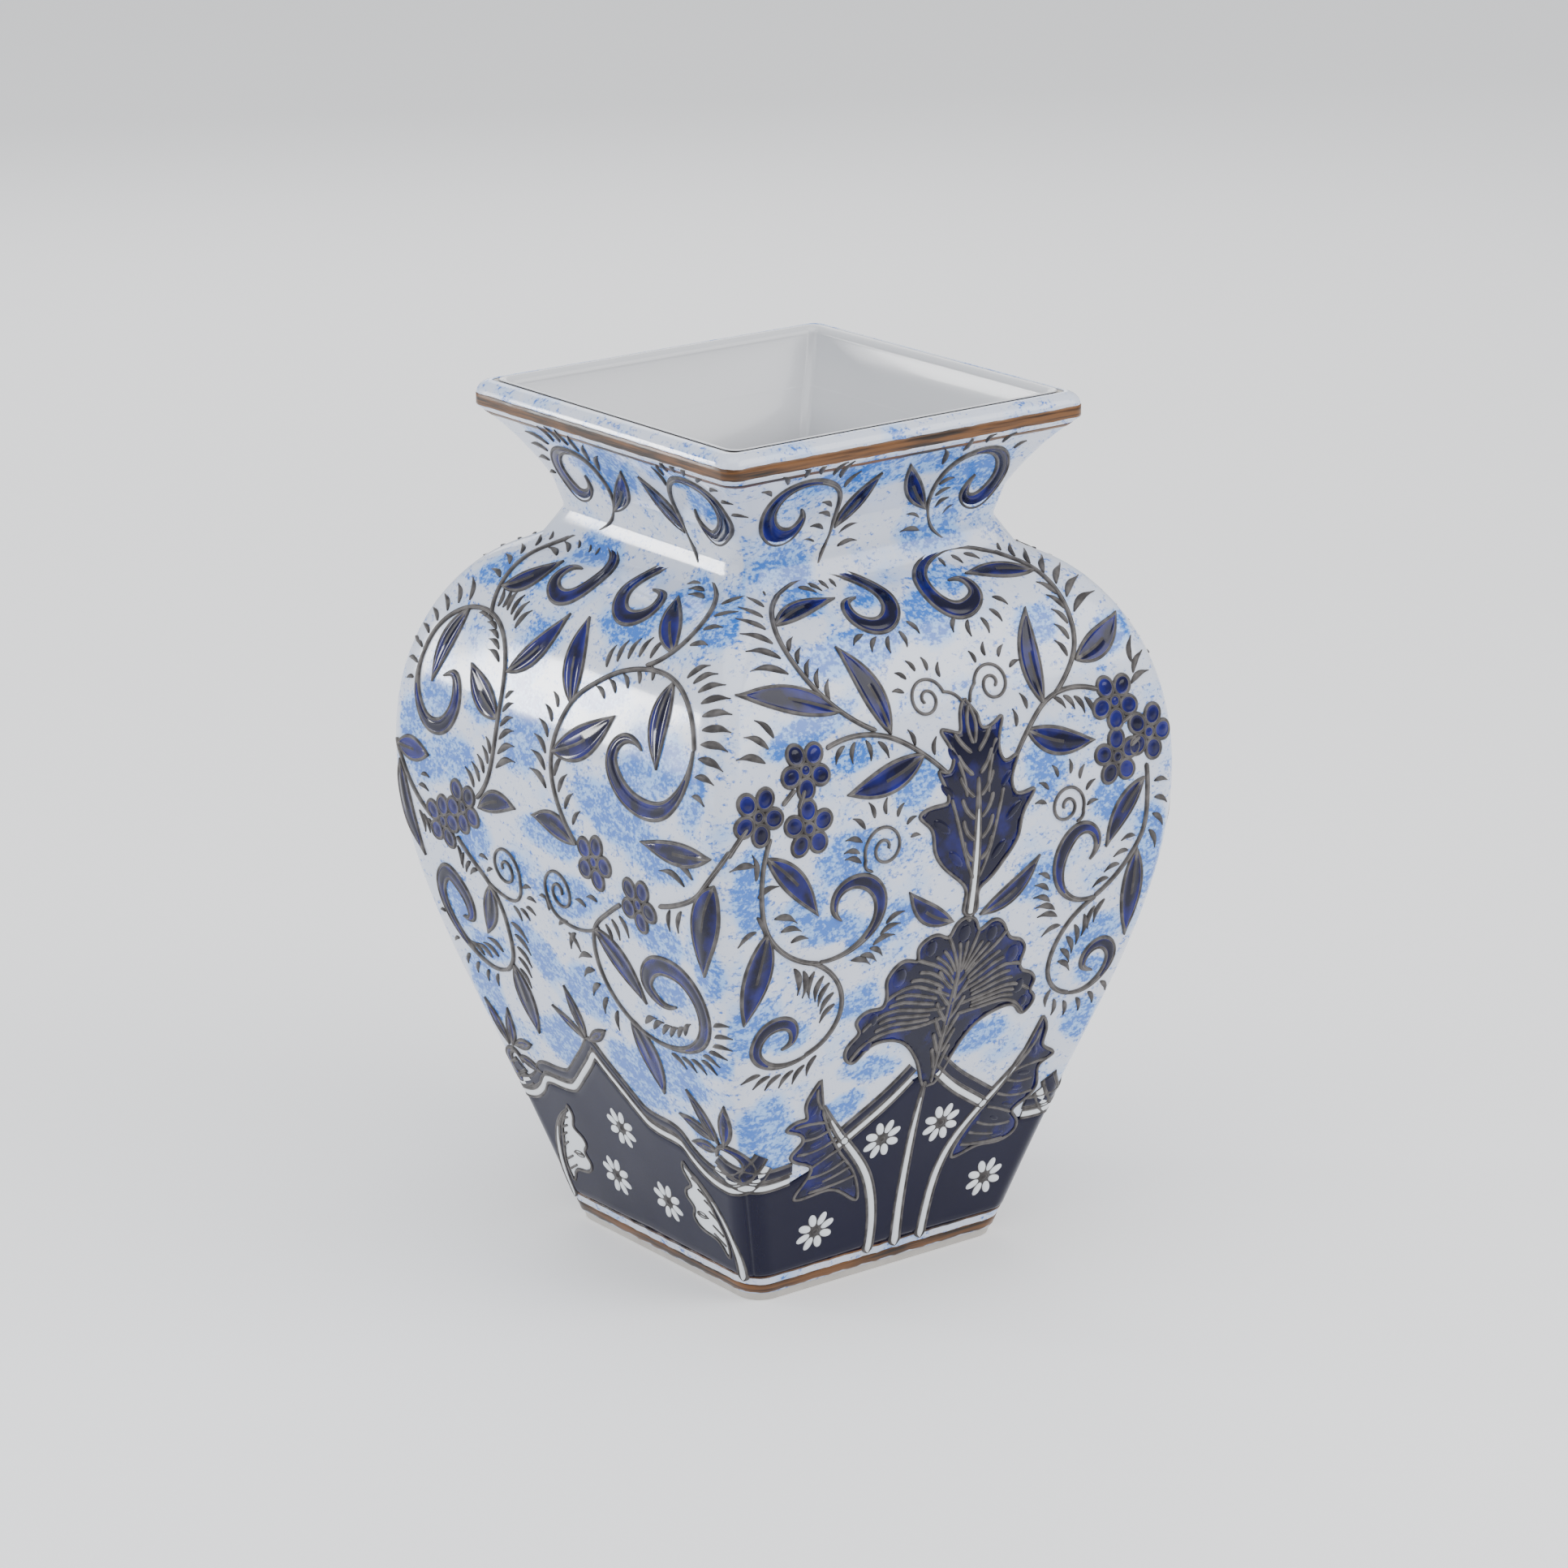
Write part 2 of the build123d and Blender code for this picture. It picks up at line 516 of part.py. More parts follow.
def side_vines():
    """The thin stems that tie the leaves, scrolls and flowers together."""
    return (
        stroke((-39.6, 269.2, 2), (-46.6, 262, 1.8), (-49.8, 252.5, 1.8), (-50.3, 242.5, 1.8), (-48, 234.4, 1.6)),
        stroke((-77.2, 215.6, 1.8), (-73, 224, 1.8), (-66.3, 230.4, 1.8), (-58, 233.8, 1.8), (-48, 233.8, 1.8),
               (-40, 230.6, 1.8), (-33.6, 224, 1.8), (-30, 215, 1.8), (-29.4, 204, 1.8), (-30.5, 191, 1.8),
               (-33.8, 179.6, 1.8), (-40.5, 171.4, 1.8)),
        stroke((42, 271.4, 2), (49.4, 264.4, 1.8), (53.6, 255, 1.8), (52.6, 247, 1.8), (48.4, 240.6, 1.8),
               (41.6, 236.4, 1.6)),
        stroke((77.6, 215.6, 1.8), (72, 224.4, 1.8), (63.7, 231, 1.8), (52, 234.6, 1.8), (40.3, 233.8, 1.8),
               (28.7, 230, 1.8), (18.7, 224, 1.8), (11, 217.6, 1.8), (5.4, 208, 1.8), (2.9, 198, 1.8),
               (4, 188.6, 1.8), (8.4, 179.6, 1.8), (17, 169.6, 1.8)),
        stroke((-55.5, 152.6, 1.6), (-48, 146, 1.8), (-41, 140.4, 1.8), (-36, 133, 1.8), (-34.6, 122.5, 1.8),
               (-36.6, 112.5, 1.8), (-43, 106, 1.8)),
        stroke((39.5, 153.4, 1.6), (30.3, 147.5, 1.8), (22.6, 141, 1.8), (19.6, 131, 1.8), (21.2, 121, 1.8),
               (26.2, 112.6, 1.8), (35.4, 106.6, 1.8)),
        stroke((-71.5, 157.4, 1.6), (-79.7, 164, 1.8), (-85, 173, 1.8)),
        stroke((64, 159.6, 1.6), (75.3, 163.3, 1.8), (83.7, 168.3, 1.8), (89, 174.5, 1.8)),
    )


def side_sprigs():
    """Three-leaved sprigs over the peak and the two ends of the border."""
    return (
        leaf(-3.6, 89.6, -19.7, 98.3, 3.8), leaf(-3.2, 91, -7.5, 109.5, 6), leaf(-2.2, 89.8, 11.2, 97.5, 4.6),
        leaf(63, 69.6, 52.8, 87.5, 6), leaf(65.4, 69.6, 72.8, 87.5, 5.6), leaf(61, 70.4, 43.7, 74.6, 5.6),
        leaf(60.4, 65.6, 46.4, 64.6, 4.6), leaf(-57.8, 69.6, -53, 86.1, 5.6), leaf(-60, 69.6, -66.4, 86.6, 5.6),
        leaf(-56.4, 70.4, -44.3, 73.8, 5), leaf(-56.4, 65.4, -43.5, 62.6, 4.6),
        stroke((60.5, 65, 2), (65, 67.4, 2.6), (69.6, 65, 3.4), (70.4, 60.4, 4), (66.6, 56.6, 4)),
        stroke((-56, 65, 2), (-60, 67, 2.6), (-63, 64.4, 3.4), (-63.4, 60, 4), (-60, 56.6, 4)),
    )


def side_border():
    """The stepped border that peaks in the middle."""
    right = ((-3, 86.4), (5.2, 78.6), (18.2, 66.6), (21, 65), (38.6, 63.2), (42, 58.6), (48.6, 54),
             (57, 52.6), (65, 54), (71, 58.4))
    left = mirrored(*right, axis=-2)
    outline = [(x, s + 3.4) for x, s in left[::-1]] + [(x, s + 3.4) for x, s in right[1:]]
    outline += [(x, s - 3.6) for x, s in right[::-1]] + [(x, s - 3.6) for x, s in left[1:]]
    return (patch(*outline),)


def side_skirt():
    """The navy skirt from the border down to the foot band."""
    return (
        patch((-75, 55), (-69, 50.4), (-61, 49), (-52.6, 50.4), (-46, 55), (-42.6, 59.6), (-25, 61.4),
              (-22.2, 63), (-9.2, 75), (-1, 82.8), (5.2, 75), (18.2, 63), (21, 61.4), (38.6, 59.6),
              (42, 55), (48.6, 50.4), (57, 49), (65, 50.4), (71, 55), (71, 10.2), (-75, 10.2)),
    )


def side_half_leaves():
    """A white half-leaf in each lower corner of the skirt."""
    right = ((35.3, 52.5), (33.7, 48.3), (36, 42.5), (29.8, 37.5), (33.7, 32.5), (31.2, 25.8), (38.7, 22.5),
             (45.6, 17.5), (48.6, 11), (53, 11), (54, 20), (52.6, 30), (48, 38.5), (41, 46.5))
    return patch(*right), patch(*mirrored(*right, axis=1))


def side_daisies():
    """Three daisies on the skirt."""
    return [daisy(x, s) for x, s in ((0.3, 54.1), (-13.5, 30), (16.5, 29.6))]


# ---- Raised enamel: cutting the marks and placing them on the faces ---------------------------------
def enamel_layer(low, high):
    """The layer over one face between two heights above the glaze, running right across it."""
    levels = [side_length * i / SECTIONS for i in range(SECTIONS + 1)]
    inner = [on_side(along, low) for along in levels]
    outer = [on_side(along, high) for along in levels]
    with BuildPart() as layer:
        with BuildSketch(Plane.YZ):
            with BuildLine():
                Polyline(*[(-half, level) for half, level in inner])
                Line((-inner[-1][0], inner[-1][1]), (-outer[-1][0], outer[-1][1]))
                Polyline(*[(-half, level) for half, level in reversed(outer)])
                Line((-outer[0][0], outer[0][1]), (-inner[0][0], inner[0][1]))
            make_face()
        extrude(amount=belly, both=True)
    return layer


with BuildSketch() as face_outline:
    with BuildLine():
        edge_places = [on_side(side_length * i / SECTIONS) for i in range(SECTIONS + 1)]
        edge = Spline(*[(half - EDGE_KEEP, level) for half, level in edge_places])
        Line(edge @ 1, (0, rim_level))
        Line(edge @ 0, (0, 0))
        mirror(about=Plane.YZ)
    make_face()

relief_layer = enamel_layer(0, RELIEF)
skirt_layer = enamel_layer(0, SKIRT_RELIEF)


def cut_enamel(marks, taken, layer):
    """The given marks as a piece on the front face, leaving out what is already taken."""
    with BuildPart() as piece:
        with BuildSketch(Plane.XZ) as drawing:
            for mark in marks:
                add(mark)
            add(face_outline.sketch, mode=Mode.INTERSECT)
            for other in taken:
                add(other, mode=Mode.SUBTRACT)
        extrude(amount=2 * belly)
        add(layer.part, mode=Mode.INTERSECT)
    return piece


def place_enamel(piece, turn, name, colour):
    """The front face's piece turned round to another face."""
    with BuildPart() as placed:
        add(piece.part, rotation=(0, 0, turn))
    save(placed, name, colour)


FRONT_MARKS = {
    "neck_scrolls": front_neck_scrolls, "shoulder_scrolls": front_shoulder_scrolls,
    "plume": front_plume, "blossom": front_blossom, "stems": front_stems, "flowers": front_flowers,
    "leaves": front_leaves, "body_scrolls": front_body_scrolls, "curls": front_curls,
    "vines": front_vines, "daisies": front_daisies, "border": front_border, "skirt": front_skirt,
}
SIDE_MARKS = {
    "neck_scrolls": side_neck_scrolls, "shoulder_scrolls": side_shoulder_scrolls,
    "flowers": side_flowers, "leaves": side_leaves, "body_scrolls": side_body_scrolls,
    "curls": side_curls, "vines": side_vines, "sprigs": side_sprigs,
    "half_leaves": side_half_leaves, "daisies": side_daisies, "border": side_border, "skirt": side_skirt,
}
PALE = ("daisies", "half_leaves")

for marks, faces in ((FRONT_MARKS, {"front": 0, "back": 180}), (SIDE_MARKS, {"left": -90, "right": 90})):
    taken = []
    for name, draw in marks.items():
        drawn = draw()
        piece = cut_enamel(drawn, taken, skirt_layer if name == "skirt" else relief_layer)
        taken += drawn
        colour = 0xF2F2F2 if name in PALE else 0x1E2250
        for face, turn in faces.items():
            place_enamel(piece, turn, f"{face}_{name}", colour)
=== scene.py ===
import math

import bpy
import numpy as np
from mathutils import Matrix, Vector, geometry


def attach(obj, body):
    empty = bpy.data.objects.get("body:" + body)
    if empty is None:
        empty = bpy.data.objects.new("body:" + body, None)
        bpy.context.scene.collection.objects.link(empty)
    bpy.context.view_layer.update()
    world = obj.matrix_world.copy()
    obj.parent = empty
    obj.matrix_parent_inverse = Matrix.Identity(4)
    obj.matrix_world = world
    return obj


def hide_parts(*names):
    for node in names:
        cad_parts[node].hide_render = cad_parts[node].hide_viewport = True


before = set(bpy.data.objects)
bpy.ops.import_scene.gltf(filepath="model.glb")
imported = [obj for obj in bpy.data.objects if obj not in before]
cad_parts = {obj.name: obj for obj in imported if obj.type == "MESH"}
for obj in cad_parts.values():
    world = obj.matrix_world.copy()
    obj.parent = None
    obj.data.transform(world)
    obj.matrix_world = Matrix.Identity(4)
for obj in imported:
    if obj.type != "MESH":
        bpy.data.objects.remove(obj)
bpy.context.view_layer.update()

bl_info = {
    "name": "Painted pottery vase",
    "version": (1, 0, 0),
    "blender": (4, 5, 0),
    "location": "View3D > Sidebar > Vase",
    "description": "Builds a square pottery vase with raised enamel scrolls, leaves and flowers",
    "category": "Add Mesh",
}

MM = 0.001
BODY = "root"

# How far each face is turned from the front one, in degrees about +Z.
FACE_TURN = {"front": 0, "left": -90, "back": 180, "right": 90}


# ---- Sizes and colours that a user may change -----------------------------------------------------
def length(name, description, default, low=0.0):
    """A length property in millimetres."""
    return bpy.props.FloatProperty(name=name, description=description, default=default, min=low, precision=2)


def colour(name, description, default):
    """A linear colour property."""
    return bpy.props.FloatVectorProperty(
        name=name, description=description, default=default, size=3, min=0, max=1, subtype="COLOR"
    )


class VaseSizes(bpy.types.PropertyGroup):
    """The pot's own sizes, in millimetres."""

    height: length("Height", "Foot to the top of the lip", 300.0)
    foot_width: length("Foot width", "Across the flats at the bottom", 106.0)
    belly_width: length("Belly width", "Across the flats at the widest level", 194.0)
    belly_height: length("Belly height", "Level of the widest section", 170.0)
    neck_width: length("Neck width", "Across the flats at the waist", 108.6)
    neck_drop: length("Neck drop", "From the top down to the waist", 43.5)
    rim_width: length("Rim width", "Across the flats of the flared rim", 147.0)
    rim_drop: length("Rim drop", "From the top down to the rim's upright face", 8.5)
    wall: length("Wall", "Thickness of the side walls with both glazes", 6.9)
    rim_wall: length("Rim wall", "Thickness of the rim", 8.8)
    floor: length("Floor", "Level of the glazed floor inside", 9.4)
    corner: length("Corner radius", "Upright corners of the body", 9.0)
    rim_corner: length("Rim corner radius", "Corners of the rim", 5.0)
    inner_corner: length("Inner corner radius", "Corners of the hollow", 3.0)
    lip: length("Lip roll", "Radius of the lip, outside", 4.5)
    inner_lip: length("Inner lip roll", "Radius of the lip, inside", 3.2)
    glaze_start: length("Glaze start", "The outer glaze stops this far above the table", 3.0)


class EnamelSizes(bpy.types.PropertyGroup):
    """The raised marks, in millimetres."""

    line_height: length("Line height", "Crest of a raised outline over the glaze", 0.78)
    line_width: length("Line width", "Width of a raised outline", 1.3)
    pool_height: length("Pool height", "Enamel level beside its outline", 0.40)
    pool_dome: length("Pool dome", "Extra height in the middle of a pool", 0.20)
    sample: length("Sample step", "Spacing of the sections along a stroke", 0.9, 0.2)


class VaseColours(bpy.types.PropertyGroup):
    """Linear colours of the finishes."""

    glaze_white: colour("Glaze white", "Ground of the outer glaze", (0.62, 0.67, 0.79))
    glaze_sky: colour("Glaze sky", "Pale wash inside the sponged patches", (0.22, 0.46, 0.90))
    fleck: colour("Fleck", "Sponged flecks", (0.006, 0.12, 0.54))
    inside: colour("Inside", "Plain glaze inside", (0.62, 0.63, 0.66))
    outline: colour("Outline", "Raised outlines", (0.040, 0.036, 0.036))
    # Painted highlight: this lighter colour on the outlines' crests and edges stands in for light catching
    # them.
    outline_highlight: colour("Outline crest", "Where the outlines are rubbed lighter", (0.15, 0.14, 0.135))
    navy: colour("Navy", "Deep pools of enamel", (0.003, 0.003, 0.018))
    violet: colour("Violet", "Thin enamel", (0.010, 0.012, 0.17))
    skirt: colour("Skirt", "Enamel of the skirt", (0.002, 0.002, 0.020))
    white: colour("White enamel", "Petals and stems", (0.72, 0.76, 0.80))
    brown: colour("Brown", "Painted bands", (0.15, 0.062, 0.018))
    brown_dark: colour("Dark brown", "Streaks in the bands", (0.018, 0.010, 0.006))
    clay: colour("Clay", "Bare fired clay", (0.58, 0.55, 0.51))


class StageSizes(bpy.types.PropertyGroup):
    """Camera and lights."""

    azimuth: bpy.props.FloatProperty(name="Azimuth", description="Camera round the vase", default=-36.63)
    elevation: bpy.props.FloatProperty(name="Elevation", description="Camera above the table", default=17.51)
    roll: bpy.props.FloatProperty(name="Roll", description="Tilt of the camera", default=-0.667)
    distance: length("Distance", "Camera to the vase's middle", 1801.4)
    pivot_lift: length("Pivot lift", "Point the camera turns about, above the vase's middle", 1.58)
    lens: length("Lens", "Focal length for a 36 mm sensor", 120.98)
    aim_side: length("Aim, sideways", "Point aimed at, right of the middle", 1.11, -500.0)
    aim_up: length("Aim, upwards", "Point aimed at, above the middle", 8.52, -500.0)


# ---- The pot's form -------------------------------------------------------------------------------
def blend(low, high, share):
    """The value that lies the given share of the way from low to high."""
    return low + (high - low) * share


def smooth_curve(points, step, closed=False):
    """Points a step apart on a natural cubic spline through the given ones, any number of columns."""
    points = np.asarray(points, float)
    if closed:
        points = np.vstack([points[-4:-1], points, points[1:4]])
    run = np.concatenate([[0], np.cumsum(np.maximum(np.hypot(*np.diff(points[:, :2], axis=0).T), 1e-6))])
    count = len(points)
    gap = np.diff(run)
    system = np.eye(count)
    slopes = np.zeros_like(points)
    for i in range(1, count - 1):
        system[i, i - 1:i + 2] = gap[i - 1], 2 * (gap[i - 1] + gap[i]), gap[i]
        slopes[i] = 6 * ((points[i + 1] - points[i]) / gap[i] - (points[i] - points[i - 1]) / gap[i - 1])
    for end, near, far in ((0, 1, 2), (-1, -2, -3)) if count > 2 else ():
        first, second = gap[end], gap[near if end else 1]
        rise, next_rise = (points[near] - points[end]) / first, (points[far] - points[near]) / second
        system[end, end], system[end, near] = 2 * first, first
        slopes[end] = 6 * (next_rise - rise) * first / (first + second)
    bend = np.linalg.solve(system, slopes)
    start, end = (run[3], run[-4]) if closed else (run[0], run[-1])
    places = np.linspace(start, end, max(3, int(round((end - start) / step)) + 1))
    i = np.clip(np.searchsorted(run, places, side="right") - 1, 0, count - 2)
    a = ((run[i + 1] - places) / gap[i])[:, None]
    b = 1 - a
    span = (gap[i] ** 2 / 6)[:, None]
    return a * points[i] + b * points[i + 1] + ((a**3 - a) * bend[i] + (b**3 - b) * bend[i + 1]) * span


class Form:
    """The elevation of the pot as tables of half width, level and outward direction by length."""

    TAPER_STEPS = ((0.385, 0.325), (0.76, 0.625))
    SHOULDER_STEPS = ((0.152, 0.486), (0.41, 0.722), (0.685, 0.844), (0.895, 0.905))
    FLARE_STEPS = ((0.275, 0.485), (0.60, 0.757))

    def __init__(self, sizes):
        self.sizes = sizes
        foot, belly, neck, rim = (
            w / 2 for w in (sizes.foot_width, sizes.belly_width, sizes.neck_width, sizes.rim_width)
        )
        self.waist = sizes.height - sizes.neck_drop
        self.rim_level = sizes.height - sizes.rim_drop
        line = [(foot, 0.0)]
        line += [(blend(foot, belly, a), blend(0, sizes.belly_height, b)) for a, b in self.TAPER_STEPS]
        line += [(belly, sizes.belly_height)]
        line += [
            (blend(belly, neck, a), blend(sizes.belly_height, self.waist, b)) for a, b in self.SHOULDER_STEPS
        ]
        line += [(neck, self.waist)]
        line += [(blend(neck, rim, a), blend(self.waist, self.rim_level, b)) for a, b in self.FLARE_STEPS]
        line += [(rim, self.rim_level)]
        table = smooth_curve(line, 0.25)
        steps = np.hypot(*np.diff(table, axis=0).T)
        self.run = np.concatenate([[0], np.cumsum(steps)])
        self.half, self.level = table[:, 0], table[:, 1]
        slope = np.gradient(table, self.run, axis=0)
        slope /= np.linalg.norm(slope, axis=1)[:, None]
        self.out, self.up = slope[:, 1], -slope[:, 0]
        self.length = self.run[-1]

    def at(self, s):
        """Half width, level, and the outward direction's level and upright parts, at a length."""
        return tuple(np.interp(s, self.run, table) for table in (self.half, self.level, self.out, self.up))

    def above_waist(self, level):
        """How far up a level lies from the waist (0) to the rim (1)."""
        return np.clip((level - self.waist) / (self.rim_level - self.waist), 0, 1)

    def corner(self, level, base):
        """Corner radius, easing from the body's to the rim's above the waist."""
        return base * blend(1, self.sizes.rim_corner / self.sizes.corner, self.above_waist(level))

    def wrap(self, x, s, h):
        """Places on the front face, x across, s up along the curve and h above the glaze, in space.

        Past the flat part of the face, x runs on round the upright corner."""
        half, level, out, up = self.at(s)
        radius = self.corner(level, self.sizes.corner)
        flat = half - radius
        side = np.sign(x)
        over = np.clip(np.abs(x) - flat, 0, None)
        turn = np.minimum(over / radius, math.pi / 2)
        past = np.maximum(over - radius * math.pi / 2, 0)
        across = np.where(over > 0, side * (flat + radius * np.sin(turn)), x)
        depth = -(flat + radius * np.cos(turn)) + past
        across_out = side * np.sin(turn)
        depth_out = -np.cos(turn)
        return np.stack([across + h * out * across_out, depth + h * out * depth_out, level + h * up], axis=-1)

    def mitre(self, s):
        """How far from a face's middle its upright corner's middle lies, along the surface."""
        half, level, _, _ = self.at(s)
        radius = self.corner(level, self.sizes.corner)
        return half - radius + radius * math.pi / 4


def ring(half, radius, flat_count=44, corner_count=8):
    """One square section with rounded corners, as places in plan."""
    places = []
    flat = half - radius
    for face in range(4):
        turn = math.radians(90 * face)
        along = np.linspace(-flat, flat, flat_count + 1)
        bend = np.linspace(0, math.pi / 2, corner_count + 1)[1:-1]
        across = np.concatenate([along, flat + radius * np.sin(bend)])
        depth = np.concatenate([np.full_like(along, -half), -(flat + radius * np.cos(bend))])
        places.append(
            np.stack(
                [
                    across * math.cos(turn) - depth * math.sin(turn),
                    across * math.sin(turn) + depth * math.cos(turn),
                ],
                axis=-1,
            )
        )
    return np.concatenate(places)


# ---- Turning numbers into meshes ------------------------------------------------------------------
def make_object(name, places, faces, materials, face_material=None, smooth=True):
    """A mesh object from places in millimetres."""
    mesh = bpy.data.meshes.new(name)
    mesh.from_pydata((np.asarray(places) * MM).tolist(), [], [list(map(int, f)) for f in faces])
    for material in materials:
        mesh.materials.append(material)
    if face_material is not None:
        mesh.polygons.foreach_set("material_index", np.asarray(face_material, dtype=np.int32))
    mesh.polygons.foreach_set("use_smooth", np.full(len(mesh.polygons), smooth))
    mesh.validate()
    mesh.update()
    piece = bpy.data.objects.new(name, mesh)
    bpy.context.scene.collection.objects.link(piece)
    return piece


def settle(piece, slot, *nodes):
    """Fix a finished piece to the vase and hide the CAD nodes that it takes the place of."""
    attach(piece, BODY)
    if nodes:
        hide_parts(*nodes)


def quads(rows, columns, round_columns=False, round_rows=False):
    """The faces of a grid of places, row by row."""
    lines = rows if round_rows else rows - 1
    gaps = columns if round_columns else columns - 1
    r, c = np.meshgrid(np.arange(lines), np.arange(gaps), indexing="ij")
    r2, c2 = (r + 1) % rows, (c + 1) % columns
    corners = (r * columns + c, r * columns + c2, r2 * columns + c2, r2 * columns + c)
    return np.stack(corners, axis=-1).reshape(-1, 4)


def shell(name, sections, materials, closed_rows):
    """A skin through square sections, each given as (half width, level, corner radius)."""
    rows = []
    for half, level, radius in sections:
        plan = ring(half, radius)
        rows.append(np.column_stack([plan, np.full(len(plan), level)]))
    columns = len(rows[0])
    faces = quads(len(rows), columns, True, closed_rows).tolist()
    if not closed_rows:
        faces.append(list(range(columns))[::-1])
        faces.append([(len(rows) - 1) * columns + i for i in range(columns)])
    return make_object(name, np.concatenate(rows), faces, materials)


# ---- Raised enamel: strokes, pools and buttons ----------------------------------------------------
SINK = 0.25               # how deep the hidden underside of a mark lies below the glaze
VEIN_HALF = 0.55          # half width of a leaf's middle vein
OUTLINE, POOL = 0, 1      # the two finishes of a mark
PLATE_LINE = 1.35         # width of the raised line round a large pool
SHALLOW, OPEN = 0.15, 0.8  # room between two outlines where a pool starts, and what it takes to open fully
WIDE, WIDEST = 1.6, 1.4   # half width past which a pool's middle darkens, and what it takes to be darkest
# Shares across and up one outline, from its outer foot to the pool.
RIDGE = ((0.0, -0.03), (0.18, 0.66), (0.5, 1.0), (0.82, 0.72), (1.0, 0.45))


class Pile:
    """The places, faces and finishes of one piece on the front face, as it is built up."""

    def __init__(self, form, enamel):
        self.form, self.enamel = form, enamel
        self.places, self.faces, self.finishes, self.tones = [], [], [], []
        self.count = 0

    def add(self, x, s, h, faces, finish, tone):
        """Add places by grid position and height, with faces that count them from zero."""
        x, s, h, tone = (np.ravel(value) for value in np.broadcast_arrays(x, s, h, tone))
        self.places.append(self.form.wrap(x, s, h))
        self.tones.append(tone)
        self.faces += [[int(i) + self.count for i in face] for face in faces]
        self.finishes += [int(f) for f in np.broadcast_to(finish, len(faces))]
        self.count += len(x)

    def make(self, name, face, materials):
        """The finished object, turned to its face."""
        turn = math.radians(FACE_TURN[face])
        places = np.concatenate(self.places)
        turned = places.copy()
        turned[:, 0] = places[:, 0] * math.cos(turn) - places[:, 1] * math.sin(turn)
        turned[:, 1] = places[:, 0] * math.sin(turn) + places[:, 1] * math.cos(turn)
        piece = make_object(name, turned, self.faces, materials, self.finishes)
        tone = piece.data.attributes.new("tone", "FLOAT", "POINT")
        tone.data.foreach_set("value", np.concatenate(self.tones).astype(np.float32))
        return piece


def section(enamel, half, vein):
    """Distances from the edge, heights and tones across half a stroke, for every row of it."""
    edge = np.minimum(enamel.line_width, 0.9 * half)
    inner = np.maximum(edge, half - VEIN_HALF)
    room = np.clip((half - edge - SHALLOW) / OPEN, 0, 1)
    level = blend(enamel.line_height, enamel.pool_height, room)
    distances = [edge * share for share, _ in RIDGE] + [(edge + inner) / 2, inner, half]
    heights = [np.full_like(half, enamel.line_height * rise) for _, rise in RIDGE]
    heights[3] = np.maximum(heights[3], level)
    heights[4] = level
    heights += [level + enamel.pool_dome * room * share for share in (0.75, 1.0)]
    heights += [np.where(vein, enamel.line_height, heights[-1] + 0.02)]
    wide = np.clip((half - WIDE) / WIDEST, 0, 1)
    # On the outline these tones are painted highlight, lightest at its two feet and its crest; in the pool
    # they mark where the enamel thins.
    tones = [np.full_like(half, tone) for tone in (0.8, 0.3, 0.55, 0.25, 1.0)]
    tones += [blend(1.0, share, wide) for share in (0.45, 0.12, 0.0)]
    return [np.stack(columns, axis=1) for columns in (distances, heights, tones)], room


def ribbon(pile, marks, closed=False, vein=0.0, rounded=True, straight=False, fill=POOL):
    """A raised stroke through (x, s, width) marks: an outline on each side and a pool between them."""
    enamel = pile.enamel
    if straight:
        marks = np.asarray(marks, float)
        run = np.concatenate([[0], np.cumsum(np.hypot(*np.diff(marks[:, :2], axis=0).T))])
        places = np.linspace(0, run[-1], max(3, int(run[-1] / enamel.sample) + 1))
        path = np.column_stack([np.interp(places, run, marks[:, i]) for i in range(3)])
    else:
        path = smooth_curve(marks, enamel.sample, closed)
    if closed:
        path = path[:-1]
        slope = np.roll(path, -1, axis=0) - np.roll(path, 1, axis=0)
    else:
        if rounded:
            path = round_ends(path)
        slope = np.gradient(path, axis=0)
    slope = slope[:, :2] / np.linalg.norm(slope[:, :2], axis=1)[:, None]
    share = np.linspace(0, 1, len(path))
    half = np.maximum(path[:, 2] / 2, 0.12)
    (distances, heights, tones), room = section(enamel, half, share < vein)
    reach = half[:, None] - distances
    reach = np.column_stack([reach, -reach[:, -2::-1], -half, half])
    height = np.column_stack([heights, heights[:, -2::-1], np.full((len(path), 2), -SINK)])
    tone = np.column_stack([tones, tones[:, -2::-1], np.zeros((len(path), 2))])
    x = path[:, 0, None] - slope[:, 1, None] * reach
    s = path[:, 1, None] + slope[:, 0, None] * reach
    rows, columns = reach.shape
    faces = quads(rows, columns, True, closed)
    row, column = faces[:, 0] // columns, faces[:, 0] % columns
    first, middle, underside = len(RIDGE) - 1, distances.shape[1] - 1, 3
    pooled = (column >= first) & (column < columns - first - underside) & (room[row] > 0.12)
    pooled &= ~((share[row] < vein) & ((column == middle - 1) | (column == middle)))
    faces = faces.tolist()
    finish = np.where(pooled, fill, OUTLINE)
    if not closed:
        faces += [list(range(columns))[::-1], [(rows - 1) * columns + i for i in range(columns)]]
        finish = np.concatenate([finish, [OUTLINE, OUTLINE]])
    pile.add(x, s, height, faces, finish, tone)


def round_ends(path):
    """The same path with both ends rounded off by half their width."""
    for _ in range(2):
        path = path[::-1]
        way = path[-1, :2] - path[-2, :2]
        way /= np.linalg.norm(way)
        width = path[-1, 2]
        extra = [(*(path[-1, :2] + way * width / 2 * go), width * left) for go, left in
                 ((0.5, 0.87), (0.86, 0.5), (1.0, 0.2))]
        path = np.vstack([path, extra])
    return path


